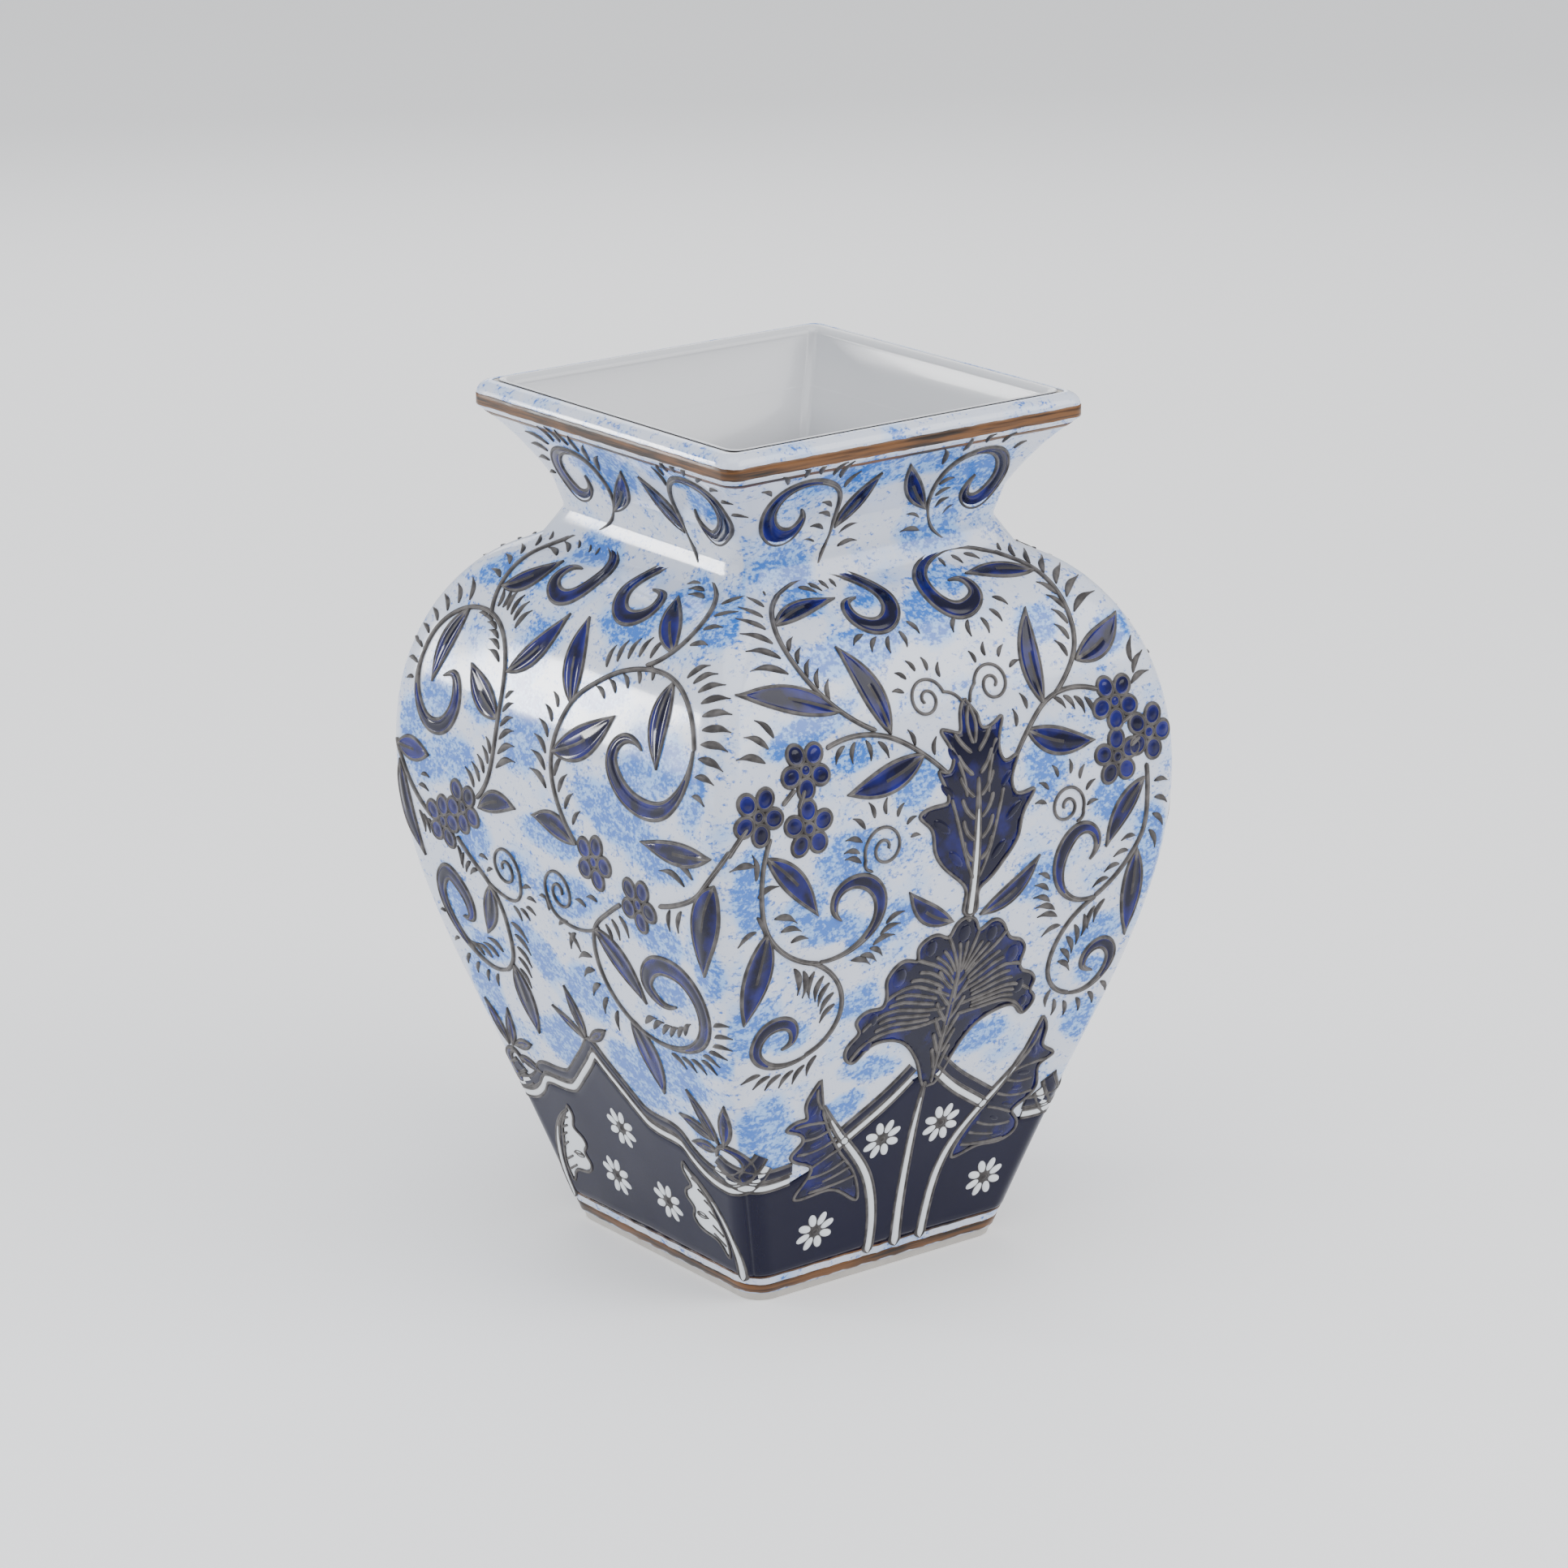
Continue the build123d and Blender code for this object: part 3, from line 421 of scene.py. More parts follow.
def plate(pile, outline, height, dome, finish=POOL, grid=2.0, depth_tone=3.0):
    """A domed pool that fills a closed outline."""
    edge = smooth_curve(outline, 1.0, True)[:-1, :2]
    low, high = edge.min(0), edge.max(0)
    gx, gs = np.meshgrid(np.arange(low[0], high[0], grid), np.arange(low[1], high[1], grid))
    inside = np.column_stack([gx.ravel(), gs.ravel()])
    nearest = np.array([np.hypot(*(edge - place).T).min() for place in inside])
    inside = inside[(nearest > 0.7) & contains(edge, inside)]
    points = [Vector(place) for place in np.vstack([edge, inside])]
    result = geometry.delaunay_2d_cdt(points, [], [list(range(len(edge)))], 1, 1e-6)
    places = np.array([tuple(place) for place in result[0]])
    count = len(places)
    near = np.array([np.hypot(*(edge - place).T).min() for place in places])
    top = height + dome * np.clip(near / 4, 0, 1)
    faces = [list(face) for face in result[2]]
    walls, links = [], {}
    for face in faces:
        for a, b in zip(face, face[1:] + face[:1]):
            links[(a, b)] = links.get((a, b), 0) + 1
    for a, b in links:
        if (b, a) not in links:
            walls.append([b, a, a + count, b + count])
    faces += [[i + count for i in face[::-1]] for face in faces] + walls
    tone = np.clip(1 - near / depth_tone, 0, 1) ** 1.5
    both = np.vstack([places, places])
    pile.add(both[:, 0], both[:, 1], np.concatenate([top, np.full(count, -SINK)]), faces, finish,
             np.concatenate([tone, tone]))


def contains(edge, places):
    """Which places lie inside a closed outline."""
    x, s = places[:, 0, None], places[:, 1, None]
    ax, ay = edge[:, 0], edge[:, 1]
    bx, by = np.roll(ax, -1), np.roll(ay, -1)
    crosses = (ay > s) != (by > s)
    slope = np.where(by == ay, 1e-9, by - ay)
    return ((crosses & (x < (bx - ax) * (s - ay) / slope + ax)).sum(1) % 2).astype(bool)


def button(pile, x, s, across, along, turn, lined=True, finish=POOL, height=None, around=22):
    """A rounded drop of enamel, lined or plain, its length at an angle."""
    enamel = pile.enamel
    small = min(across, along)
    if lined:
        edge = min(enamel.line_width, 0.45 * small)
        steps = [edge * share for share, _ in RIDGE] + [(edge + small) / 2, small - 0.3]
        rises = [enamel.line_height * rise for _, rise in RIDGE]
        rises[4] = enamel.pool_height
        rises += [enamel.pool_height + 0.2, enamel.pool_height + 0.32]
        # On the lined rim these tones are painted highlight at its feet and crest; inside they mark where the
        # enamel thins.
        tones = (0.8, 0.3, 0.55, 0.25, 0.95, 0.55, 0.35)
    else:
        top = height or enamel.line_height
        steps = [0.0, 0.12 * small, 0.35 * small, 0.65 * small, small - 0.12]
        rises = [-0.03, 0.5 * top, 0.85 * top, top, 1.05 * top]
        # Tones from rim to top: on a dark outline drop the high rim tone is painted highlight; on an enamel
        # drop it marks thinner enamel.
        tones = (0.9, 0.6, 0.3, 0.1, 0.0)
    spin = np.linspace(0, 2 * math.pi, around, endpoint=False)
    angle = math.radians(turn)
    rows = []
    for step in steps + [None]:
        inset = 0 if step is None else step
        u, v = (along - inset) * np.cos(spin), (across - inset) * np.sin(spin)
        rows.append(np.stack([x + u * math.cos(angle) - v * math.sin(angle),
                              s + u * math.sin(angle) + v * math.cos(angle)], axis=-1))
    rows = np.array([rows[-1]] + rows[:-1])
    levels = np.repeat([-SINK] + rises, around)
    shades = np.repeat((0.0,) + tones, around)
    faces = quads(len(rows), around, True)
    ring_index = faces[:, 0] // around
    marks = np.where((ring_index >= len(RIDGE)) | (not lined), finish, OUTLINE)
    faces = faces.tolist()
    faces += [list(range(around))[::-1], [(len(rows) - 1) * around + i for i in range(around)]]
    marks = np.concatenate([marks, [OUTLINE, finish]])
    flat = rows.reshape(-1, 2)
    pile.add(flat[:, 0], flat[:, 1], levels, faces, marks, shades)


def leaf(pile, x0, s0, x1, s1, width, bow=0.0, vein=0.52):
    """A pointed leaf from its stalk to its tip, bowed a little to one side, with a middle vein."""
    run, climb = x1 - x0, s1 - s0
    marks = []
    for t in (0, 0.06, 0.15, 0.28, 0.42, 0.56, 0.7, 0.83, 0.93, 1.0):
        girth = width * max(0.04, math.sin(math.pi * t**0.86) ** 0.85) if 0 < t < 1 else 0.5
        sway = bow * math.sin(math.pi * t)
        marks.append((x0 + run * t - climb * sway, s0 + climb * t + run * sway, girth))
    ribbon(pile, marks, vein=vein, rounded=False)


def petals(pile, x, s, turn, count, reach, across, along, **kind):
    """A ring of drops round a middle, each pointing outwards."""
    for i in range(count):
        angle = turn + 360 / count * i
        out = math.radians(angle)
        button(pile, x + reach * math.cos(out), s + reach * math.sin(out), across, along, angle, **kind)


def flower(pile, x, s, turn=90.0):
    """Five rounded petals round a small middle."""
    petals(pile, x, s, turn, count=5, reach=6.1, across=3.95, along=4.3)
    button(pile, x, s, across=2.7, along=2.7, turn=0)


def daisy(pile, x, s, turn=22.5):
    """Eight white petals on a scalloped dark ground."""
    ground, top = 0.62, 0.95
    dark = {"lined": False, "finish": OUTLINE, "height": ground, "around": 16}
    white = {"lined": False, "finish": POOL, "height": top, "around": 16}
    petals(pile, x, s, turn, count=8, reach=5.0, across=2.35, along=3.45, **dark)
    button(pile, x, s, 3.4, 3.4, 0, False, OUTLINE, ground)
    petals(pile, x, s, turn, count=8, reach=5.1, across=1.8, along=2.95, **white)
    button(pile, x, s, 1.5, 1.5, 0, False, OUTLINE, top, 12)


def curl(pile, x, s, turn, reach, side):
    """The thin spiral that ends a tendril, wound round its middle."""
    count, step, tighten, width = 15, 40, 0.058, 1.15
    marks = []
    for i in range(count):
        angle = math.radians(turn + side * step * i)
        radius = reach * (1 - tighten * i)
        marks.append((x + radius * math.cos(angle), s + radius * math.sin(angle), width))
    ribbon(pile, marks)


def dash(pile, marks):
    """One small raised dash."""
    path = smooth_curve(marks, 0.8)
    slope = np.gradient(path[:, :2], axis=0)
    slope /= np.linalg.norm(slope, axis=1)[:, None]
    half = path[:, 2, None] / 2
    reach = half * np.array([1.0, 0.62, 0.0, -0.62, -1.0, -1.0, 1.0])
    rise = np.minimum(0.62, 0.35 + 0.4 * half) * np.array([0.0, 0.8, 1.0, 0.8, 0.0, 0.0, 0.0])
    rise += np.array([-0.03, 0, 0, 0, -0.03, -SINK, -SINK])
    # Painted highlight: these tones lighten the dash's two edges and its crest.
    tone = np.broadcast_to(np.array([0.5, 0.3, 0.4, 0.3, 0.5, 0.0, 0.0]), reach.shape)
    rows, columns = reach.shape
    faces = quads(rows, columns, True).tolist()
    faces += [list(range(columns))[::-1], [(rows - 1) * columns + i for i in range(columns)]]
    pile.add(path[:, 0, None] - slope[:, 1, None] * reach, path[:, 1, None] + slope[:, 0, None] * reach, rise,
             faces, OUTLINE, tone)


def mirrored(marks, axis=0.0):
    """The same marks on the other side of a line up the face."""
    return [(2 * axis - mark[0], *mark[1:]) for mark in marks]


def closed_line(pile, outline, width):
    """A raised line of one width round a closed outline."""
    ribbon(pile, [(x, s, width) for x, s in outline], closed=True)


def lines(pile, width, *paths):
    """Raised lines of one width through open paths."""
    for path in paths:
        ribbon(pile, [(x, s, width) for x, s in path])


def barb(pile, middle, s, way, places):
    """One barb of a feather, to one side of its middle line."""
    lines(pile, 2.0, [(middle + way * u, s + rise) for u, rise in places])


# ---- The operators that raise the marks -----------------------------------------------------------
WHITE = 2                 # the third finish of a mark, beside its outline and its dark pool


def current_form():
    """The pot's form at the sizes in the sidebar."""
    return Form(bpy.context.scene.vase_sizes)


class MarkOperator:
    """Shared by the operators below: draws one kind of mark on the faces that carry it."""

    bl_options = {"REGISTER", "UNDO"}
    finish = "cobalt"
    slot_name = "cobalt_enamel"
    stands_for_node = True

    def execute(self, context):
        form, enamel = current_form(), context.scene.vase_enamel
        materials = [finish_material(name) for name in ("outline", self.finish, "white_enamel")]
        for draw, faces in ((self.front, ("front", "back")), (self.side, ("left", "right"))):
            pile = Pile(form, enamel)
            draw(pile)
            if not pile.count:
                continue
            for face in faces:
                node = f"{face}_{self.node}"
                piece = pile.make(f"enamel_{node}", face, materials)
                settle(piece, self.slot_name, *([node] if self.stands_for_node else []))
        return {"FINISHED"}

    def front(self, pile):
        """Nothing of this kind on the front and back."""

    def side(self, pile):
        """Nothing of this kind on the two sides."""


class VASE_OT_neck_scrolls(MarkOperator, bpy.types.Operator):
    """Raise the scrolls and leaves round the neck"""

    bl_idname = "vase.neck_scrolls"
    bl_label = "Neck scrolls"
    node = "neck_scrolls"

    def front(self, pile):
        ribbon(pile, (
            (-25.2, 275.5, 1.2), (-20.4, 284, 1.4), (-19.6, 294, 1.6), (-21.6, 302.5, 2.0), (-27.6, 308, 2.6),
            (-36.5, 310.6, 3.8), (-44.5, 308, 5.2), (-48.3, 301, 6.2), (-46.8, 292.6, 7.2), (-41, 287.4, 7.6),
            (-35.4, 288.8, 5.4), (-33.6, 294, 3), (-35.2, 297.6, 1),
        ))
        ribbon(pile, (
            (28.6, 273.6, 1.2), (22.4, 280.4, 1.4), (19.8, 291, 1.6), (21.4, 301.5, 2.0), (26.6, 308, 2.6),
            (34.6, 310.2, 3.6), (42.8, 307, 5), (47.2, 299.4, 6.2), (45.6, 291, 7), (40, 286.6, 7),
            (35.4, 288.6, 5), (34.6, 294, 3), (36, 298, 1),
        ))
        leaf(pile, -18.6, 286.8, -7, 308.8, 7.6, -0.03)
        leaf(pile, 19.4, 287, 4, 310.4, 7.2, 0.05)

    def side(self, pile):
        ribbon(pile, (
            (-24.7, 275.5, 1.2), (-18.4, 281.6, 1.4), (-15.6, 290, 1.6), (-16.6, 298.6, 2.0),
            (-21.4, 305, 2.6),
            (-29, 306.4, 3.4), (-36.6, 304, 4.6), (-41.4, 298.3, 6), (-41, 291, 6.8), (-36.4, 286.4, 6.4),
            (-31, 287, 4.6), (-27.6, 290.6, 2.8), (-26.8, 295.6, 1),
        ))
        ribbon(pile, (
            (30.8, 276, 1.2), (25.2, 283.5, 1.4), (23.4, 292, 1.6), (25.6, 301.5, 2.0), (32.2, 308.6, 2.6),
            (40.8, 311.2, 3.8), (48.4, 309.2, 5.2), (52.2, 302.8, 6.4), (51, 295.2, 7), (46.2, 289.2, 6.8),
            (40, 286.4, 5.8), (35.6, 290, 3), (36, 296.6, 1),
        ))
        leaf(pile, -17.6, 283.3, 0.6, 304.8, 7.6, -0.05)
        leaf(pile, 23.6, 284.4, 10.6, 305, 9.5, 0.04)


class VASE_OT_shoulder_scrolls(MarkOperator, bpy.types.Operator):
    """Raise the thick scrolls that hang from the shoulder"""

    bl_idname = "vase.shoulder_scrolls"
    bl_label = "Shoulder scrolls"
    node = "shoulder_scrolls"

    def front(self, pile):
        for marks in (
            ((-46, 266.8, 1.4), (-36, 270.9, 2.0), (-25.6, 272.2, 2.8), (-15.6, 269.2, 4.4), (-9, 261.6, 6),
             (-8.4, 252.6, 7), (-13.6, 247.4, 7), (-20.6, 248, 6.4), (-24.6, 252.8, 5.2), (-23.6, 257.6, 3.6),
             (-19, 259.2, 1)),
            ((46, 265.6, 1.4), (36.6, 270, 2.0), (26, 271.2, 2.8), (16, 268.4, 4.4), (9.8, 261, 6),
             (9.6, 252.6, 7), (15, 246.8, 7.4), (22, 247.4, 6.8), (26.4, 252, 5.2), (25.2, 257, 3.6),
             (19.6, 258.4, 1)),
        ):
            ribbon(pile, marks)

    def side(self, pile):
        for marks in (
            ((-39, 269.4, 1.4), (-30.5, 273, 2.0), (-21.5, 273, 2.8), (-12.6, 269.4, 4.4), (-8.2, 261.8, 6),
             (-9.4, 253, 6.8), (-15, 247.6, 6.8), (-22.4, 247.8, 6.4), (-26.6, 253, 5.2), (-24.6, 258, 3.6),
             (-19.5, 259.4, 1)),
            ((41, 271.4, 1.4), (32, 274, 2.0), (21.6, 273, 2.8), (12.8, 269, 4.4), (8.8, 261.8, 5.8),
             (10.2, 253.4, 6.6), (16, 248.4, 6.8), (23.2, 249, 6.4), (27.8, 254.4, 5.2), (25.6, 260, 3.6),
             (19.8, 260.8, 1)),
        ):
            ribbon(pile, marks)


class VASE_OT_plume(MarkOperator, bpy.types.Operator):
    """Raise the feathered plume in the middle of the front"""

    bl_idname = "vase.plume"
    bl_label = "Plume"
    node = "plume"

    OUTLINE_PLACES = (
        (7.2, 217), (4.2, 212.6), (2.6, 206.6), (0, 207.4), (-4.4, 208.6), (-2.2, 203.6), (-1.4, 196.6),
        (-3.4, 194.6), (-7, 195.6), (-5.4, 190.6), (-4.4, 184.6), (-9, 184.2), (-16, 182), (-11.6, 177.2),
        (-10, 170), (-5.4, 162.2), (1, 156.6), (4.6, 151.4), (5.2, 143.4), (9.2, 143.4), (9.8, 151.4),
        (13, 154), (19.4, 160), (25.4, 168), (27.6, 176), (31.8, 182.6), (24.6, 182.4), (22.6, 186),
        (23.4, 190.6), (25.4, 195.4), (20.6, 194.2), (18.4, 197.6), (18.8, 203), (20.8, 209), (15.4, 206.6),
        (12, 207), (10.4, 212.4),
    )

    MIDDLE = 8                # the plume's own middle line, across the face
    # Away from the middle line and up: the petals' lines, then the lobes with half length and lean.
    PETAL_LINES = (((1.6, 157), (5, 165), (7.6, 174), (10.6, 184.6)), ((4.6, 186), (6, 194), (9, 201.6)),
                   ((0.6, 203), (1.6, 210), (0.4, 214)))
    LOBES = ((9, 164.6, 4.4, 42), (15, 177, 4.6, 50), (12.2, 188.4, 3.6, 42), (8.6, 199.6, 3.4, 30))

    def front(self, pile):
        plate(pile, self.OUTLINE_PLACES, pile.enamel.pool_height - 0.1, 0.12)
        closed_line(pile, self.OUTLINE_PLACES, PLATE_LINE)
        ribbon(pile, ((7.2, 142.6, 4.4), (7.6, 158, 4.2), (8, 176, 3.4), (8.6, 190, 2.0)), fill=WHITE)
        for way in (-1, 1):
            lines(pile, 1.7, *[[(self.MIDDLE + way * u, s) for u, s in path] for path in self.PETAL_LINES])
            for i in range(6):
                barb(pile, self.MIDDLE, 163 + 7.4 * i, way, ((2.2, 0), (4.2, 2), (5.6 + 0.3 * i, 6)))
            for u, s, along, turn in self.LOBES:
                across = along * 0.42
                button(pile, self.MIDDLE + way * u, s, across, along, 90 - way * turn, False, POOL, 0.85)


class VASE_OT_blossom(MarkOperator, bpy.types.Operator):
    """Raise the fan-shaped blossom under the plume"""

    bl_idname = "vase.blossom"
    bl_label = "Blossom"
    node = "blossom"

    OUTLINE_PLACES = (
        (2.2, 76), (-2, 83.3), (-6, 90.8), (-12.4, 97.6), (-21.3, 100.6), (-28.4, 98.6), (-32.8, 94.8),
        (-36.6, 98), (-35.8, 103), (-32.6, 107), (-34.6, 111), (-31, 114.6), (-24.4, 115), (-23.6, 119.6),
        (-24.6, 125), (-22, 129.4), (-17, 131), (-12.6, 130), (-13, 134), (-9.7, 137.4), (-4.4, 137.6),
        (-0.6, 136), (1.8, 139.8), (6.2, 142), (10.4, 139.8), (12.4, 136), (17, 138.2), (22, 136.8),
        (24.4, 133), (27, 129.6), (31, 128), (33.8, 124), (33, 118), (35, 115), (39, 113), (41, 109.4),
        (40.2, 106), (42.5, 103), (41.7, 99), (38.7, 96.8), (35, 100.4), (27, 101.4), (18.7, 98), (12.4, 90),
        (8.7, 81.6), (5, 76),
    )

    MIDDLE = 4.8              # the blossom's own middle line, across the face
    PETAL_LINES = (
        ((2, 104), (-8, 103), (-20, 104), (-30, 101), (-34, 96.6)),
        ((2, 108), (-8, 109.6), (-18, 112), (-26, 111), (-31, 107.6)),
        ((3, 113), (-5, 117), (-13, 120), (-20, 119), (-23.4, 117.2)),
        ((4, 118), (-1, 124), (-8, 128), (-12.4, 130)),
        ((5.4, 122), (3, 129), (-0.4, 136)),
        ((7, 122), (10, 129), (12.2, 136)),
        ((8, 118), (14, 124), (20.6, 129), (24, 132.6)),
        ((9, 113), (17, 116), (26, 119.4), (32.6, 118.4)),
        ((10, 108), (20, 109.6), (31, 110.6), (38.6, 107)),
        ((10, 104), (20, 104.6), (30, 104.4), (38, 98.4)),
    )
    # Lobes along the rim: across, up and size.
    LOBES = (
        (-28, 100.5, 3.2), (-27.6, 110.8, 3.4), (-19.4, 125, 4.4), (-7.6, 133.4, 3.8), (6, 136, 4.2),
        (18, 133.4, 3.8), (28.6, 123, 4.4), (34.4, 109, 3.6), (37.8, 102, 3),
    )

    def front(self, pile):
        plate(pile, self.OUTLINE_PLACES, pile.enamel.pool_height - 0.1, 0.12)
        closed_line(pile, self.OUTLINE_PLACES, PLATE_LINE)
        lines(pile, 1.7, *self.PETAL_LINES)
        for first, last in zip(self.PETAL_LINES, self.PETAL_LINES[1:]):
            a, b = (smooth_curve([(*place, 0) for place in path], 1.0) for path in (first, last))
            for share in (0.33, 0.66):
                lines(pile, 1.7, [tuple(blend(a[int(t * (len(a) - 1))], b[int(t * (len(b) - 1))], share)[:2])
                                  for t in (0.18, 0.4, 0.6, 0.76)])
        for x, s, size in self.LOBES:
            button(pile, x, s, size * 0.72, size * 0.9, 90, False, POOL, 0.82)
        ribbon(pile, ((4.4, 78, 1.6), (4.6, 92, 2.6), (5.4, 108, 3.2), (6, 124, 1.6)))
        for i in range(6):
            reach = 3.4 + 0.7 * i
            for way in (-1, 1):
                barb(pile, self.MIDDLE, 84 + 6.4 * i, way, ((1.2, 0), (0.6 * reach, 3), (reach, 7)))


class VASE_OT_stems(MarkOperator, bpy.types.Operator):
    """Raise the three white stems and their acanthus leaves"""

    bl_idname = "vase.stems"
    bl_label = "Stems"
    node = "stems"

    MIDDLE = 2                # the line that the two leaves' veins are mirrored in
    LEAVES = (
        ((-44.8, 91), (-47.6, 86.4), (-48.6, 80), (-47.4, 75.6), (-51, 75.4), (-55, 73), (-50.6, 70.6),
         (-46.8, 66), (-50.6, 60.8), (-47.6, 57.6), (-40.4, 53), (-42, 48.6), (-45.4, 42), (-36.3, 41.6),
         (-27, 40.4), (-17.4, 34), (-20.4, 44.8), (-27, 54), (-34.7, 64.8), (-41, 77)),
        ((49.2, 92.6), (52.2, 87), (52.4, 80), (55, 77.6), (58.3, 75), (53.4, 71.8), (53.6, 66), (54, 62),
         (49.4, 57), (45.6, 54), (48.4, 49.6), (49, 45.6), (42, 42), (32, 42.5), (22.2, 40.6), (26, 52),
         (33.7, 62), (40.3, 72), (45.3, 80.8)),
    )

    # Of the left leaf: its veins, and its domed pools as across, up, half sizes and lean.
    VEINS = (
        ((-42, 79), (-44.6, 83.4), (-45.4, 87)), ((-38.4, 72), (-44, 73), (-51, 73.2)),
        ((-36, 68.4), (-41.6, 66.6), (-46, 66.6)), ((-33, 63.4), (-40, 61), (-47.6, 60.8)),
        ((-30, 58.6), (-35.4, 56.4), (-40, 54)), ((-26.6, 53), (-34, 50), (-40.6, 49.4)),
        ((-21.4, 45), (-29, 43.6), (-39, 43)), ((-24, 49.4), (-29.6, 47.4), (-34, 46.4)),
    )
    POOLS = ((-45, 78.6, 1.5, 2.6, 70), (-42.6, 69.8, 1.5, 3.4, 10), (-41, 63.8, 1.4, 3, 10),
             (-38.6, 57.6, 1.6, 3.6, 20), (-33.6, 53, 1.2, 2.6, 30), (-36.6, 45.6, 1.6, 3.4, 5))

    def front(self, pile):
        for marks in (
            ((-40.6, 78.5, 2.2), (-32.4, 66.6, 3.8), (-23.6, 55.6, 4.4), (-15.5, 44, 4.8), (-10.8, 32.5, 5),
             (-8.4, 22, 5), (-7.4, 11, 5)),
            ((1.6, 77, 2.6), (1.4, 61, 4), (1.8, 44, 4.6), (2.6, 27.5, 5), (4.2, 11, 5.4)),
            ((46.4, 79, 2.2), (37.4, 68, 3.8), (26.6, 56, 4.4), (19, 44, 4.8), (16, 32.5, 5),
             (15.3, 22, 5), (15.3, 11, 5)),
        ):
            ribbon(pile, marks, fill=WHITE)
        for outline, way in zip(self.LEAVES, (-1, 1)):
            plate(pile, outline, pile.enamel.pool_height - 0.05, 0.3)
            closed_line(pile, outline, PLATE_LINE)
            for path in self.VEINS:
                lines(pile, 1.5, [(self.MIDDLE + way * (self.MIDDLE - x), s) for x, s in path])
            for x, s, across, along, turn in self.POOLS:
                x = self.MIDDLE + way * (self.MIDDLE - x)
                button(pile, x, s, across, along, -way * turn, False, POOL, 0.8)


class VASE_OT_flowers(MarkOperator, bpy.types.Operator):
    """Raise the clusters of five-petalled flowers"""

    bl_idname = "vase.flowers"
    bl_label = "Flowers"
    node = "flowers"

    def front(self, pile):
        for x, s, turn in ((-60.2, 206, 48), (-80.5, 194.6, 130), (-61, 187, 90), (68.7, 205.3, 50),
                           (82, 192.4, 70), (68, 186.5, 92)):
            flower(pile, x, s, turn)

    def side(self, pile):
        for x, s, turn in ((-64, 156.8, 80), (-50.2, 165.4, 120), (27, 165.4, 70), (50.8, 156.6, 60)):
            flower(pile, x, s, turn)


class VASE_OT_leaves(MarkOperator, bpy.types.Operator):
    """Raise the leaves on the vines"""

    bl_idname = "vase.leaves"
    bl_label = "Leaves"
    node = "leaves"

    def front(self, pile):
        for marks in (
            (-42.2, 221.6, -79.7, 234, 10, -0.04), (-24.6, 211, -36.6, 243, 9.5, -0.05),
            (-54.3, 254.6, -26, 260.8, 7.6, 0.07), (55.3, 221.6, 77.6, 234.4, 10, -0.09),
            (38.8, 209.6, 42.2, 242.5, 9, 0.1), (53.4, 255, 27.3, 259.8, 8, -0.05),
            (-12.2, 202.5, -45, 194.8, 10.5, 0.06), (30.3, 202.5, 58.7, 194.1, 10, -0.07),
            (-78.3, 180.6, -57, 156.6, 9, 0.05), (-77, 154.8, -82.4, 121.8, 12, 0.0),
            (79.6, 177.5, 64, 155.3, 8.5, -0.06), (78, 152.5, 78.5, 118.6, 9.5, 0.0),
            (0.5, 141.8, -19.6, 156.8, 8, 0.1), (11.4, 141.8, 35.3, 158.8, 8, -0.1),
        ):
            leaf(pile, *marks)

    def side(self, pile):
        for marks in (
            (-29.3, 217, -8, 242.8, 9, -0.08), (-49.4, 243.5, -30.5, 260, 9, -0.1),
            (-60, 232.8, -70.3, 204.8, 8.5, -0.06), (-29.7, 201, -49.7, 215.8, 11, 0.06),
            (9.5, 214.6, 2, 244, 11, 0.05), (50.6, 242, 32.8, 261.8, 9.5, 0.06),
            (3, 197.5, 33.7, 216.4, 12, -0.07), (57.4, 233.3, 60.6, 204.5, 10.5, -0.08),
            (-89.5, 179.2, -69.7, 179.1, 9.5, 0.0), (-88, 174, -79.3, 140, 8.5, -0.08),
            (-40.5, 167.5, -17.6, 172.6, 8.4, 0.1), (17, 168.8, -8, 173.2, 9, -0.08),
            (92, 182.6, 54.6, 179.6, 8.5, 0.03), (93, 174, 83.7, 140, 13, -0.06),
            (-40, 139.5, -49.3, 118, 8.5, 0.04), (22, 140.5, 44.3, 118.2, 10.5, 0.06),
            (-37.7, 109, -35.5, 81.4, 10.5, 0.0), (31.2, 109, 37.8, 80.8, 12, 0.06),
        ):
            leaf(pile, *marks)


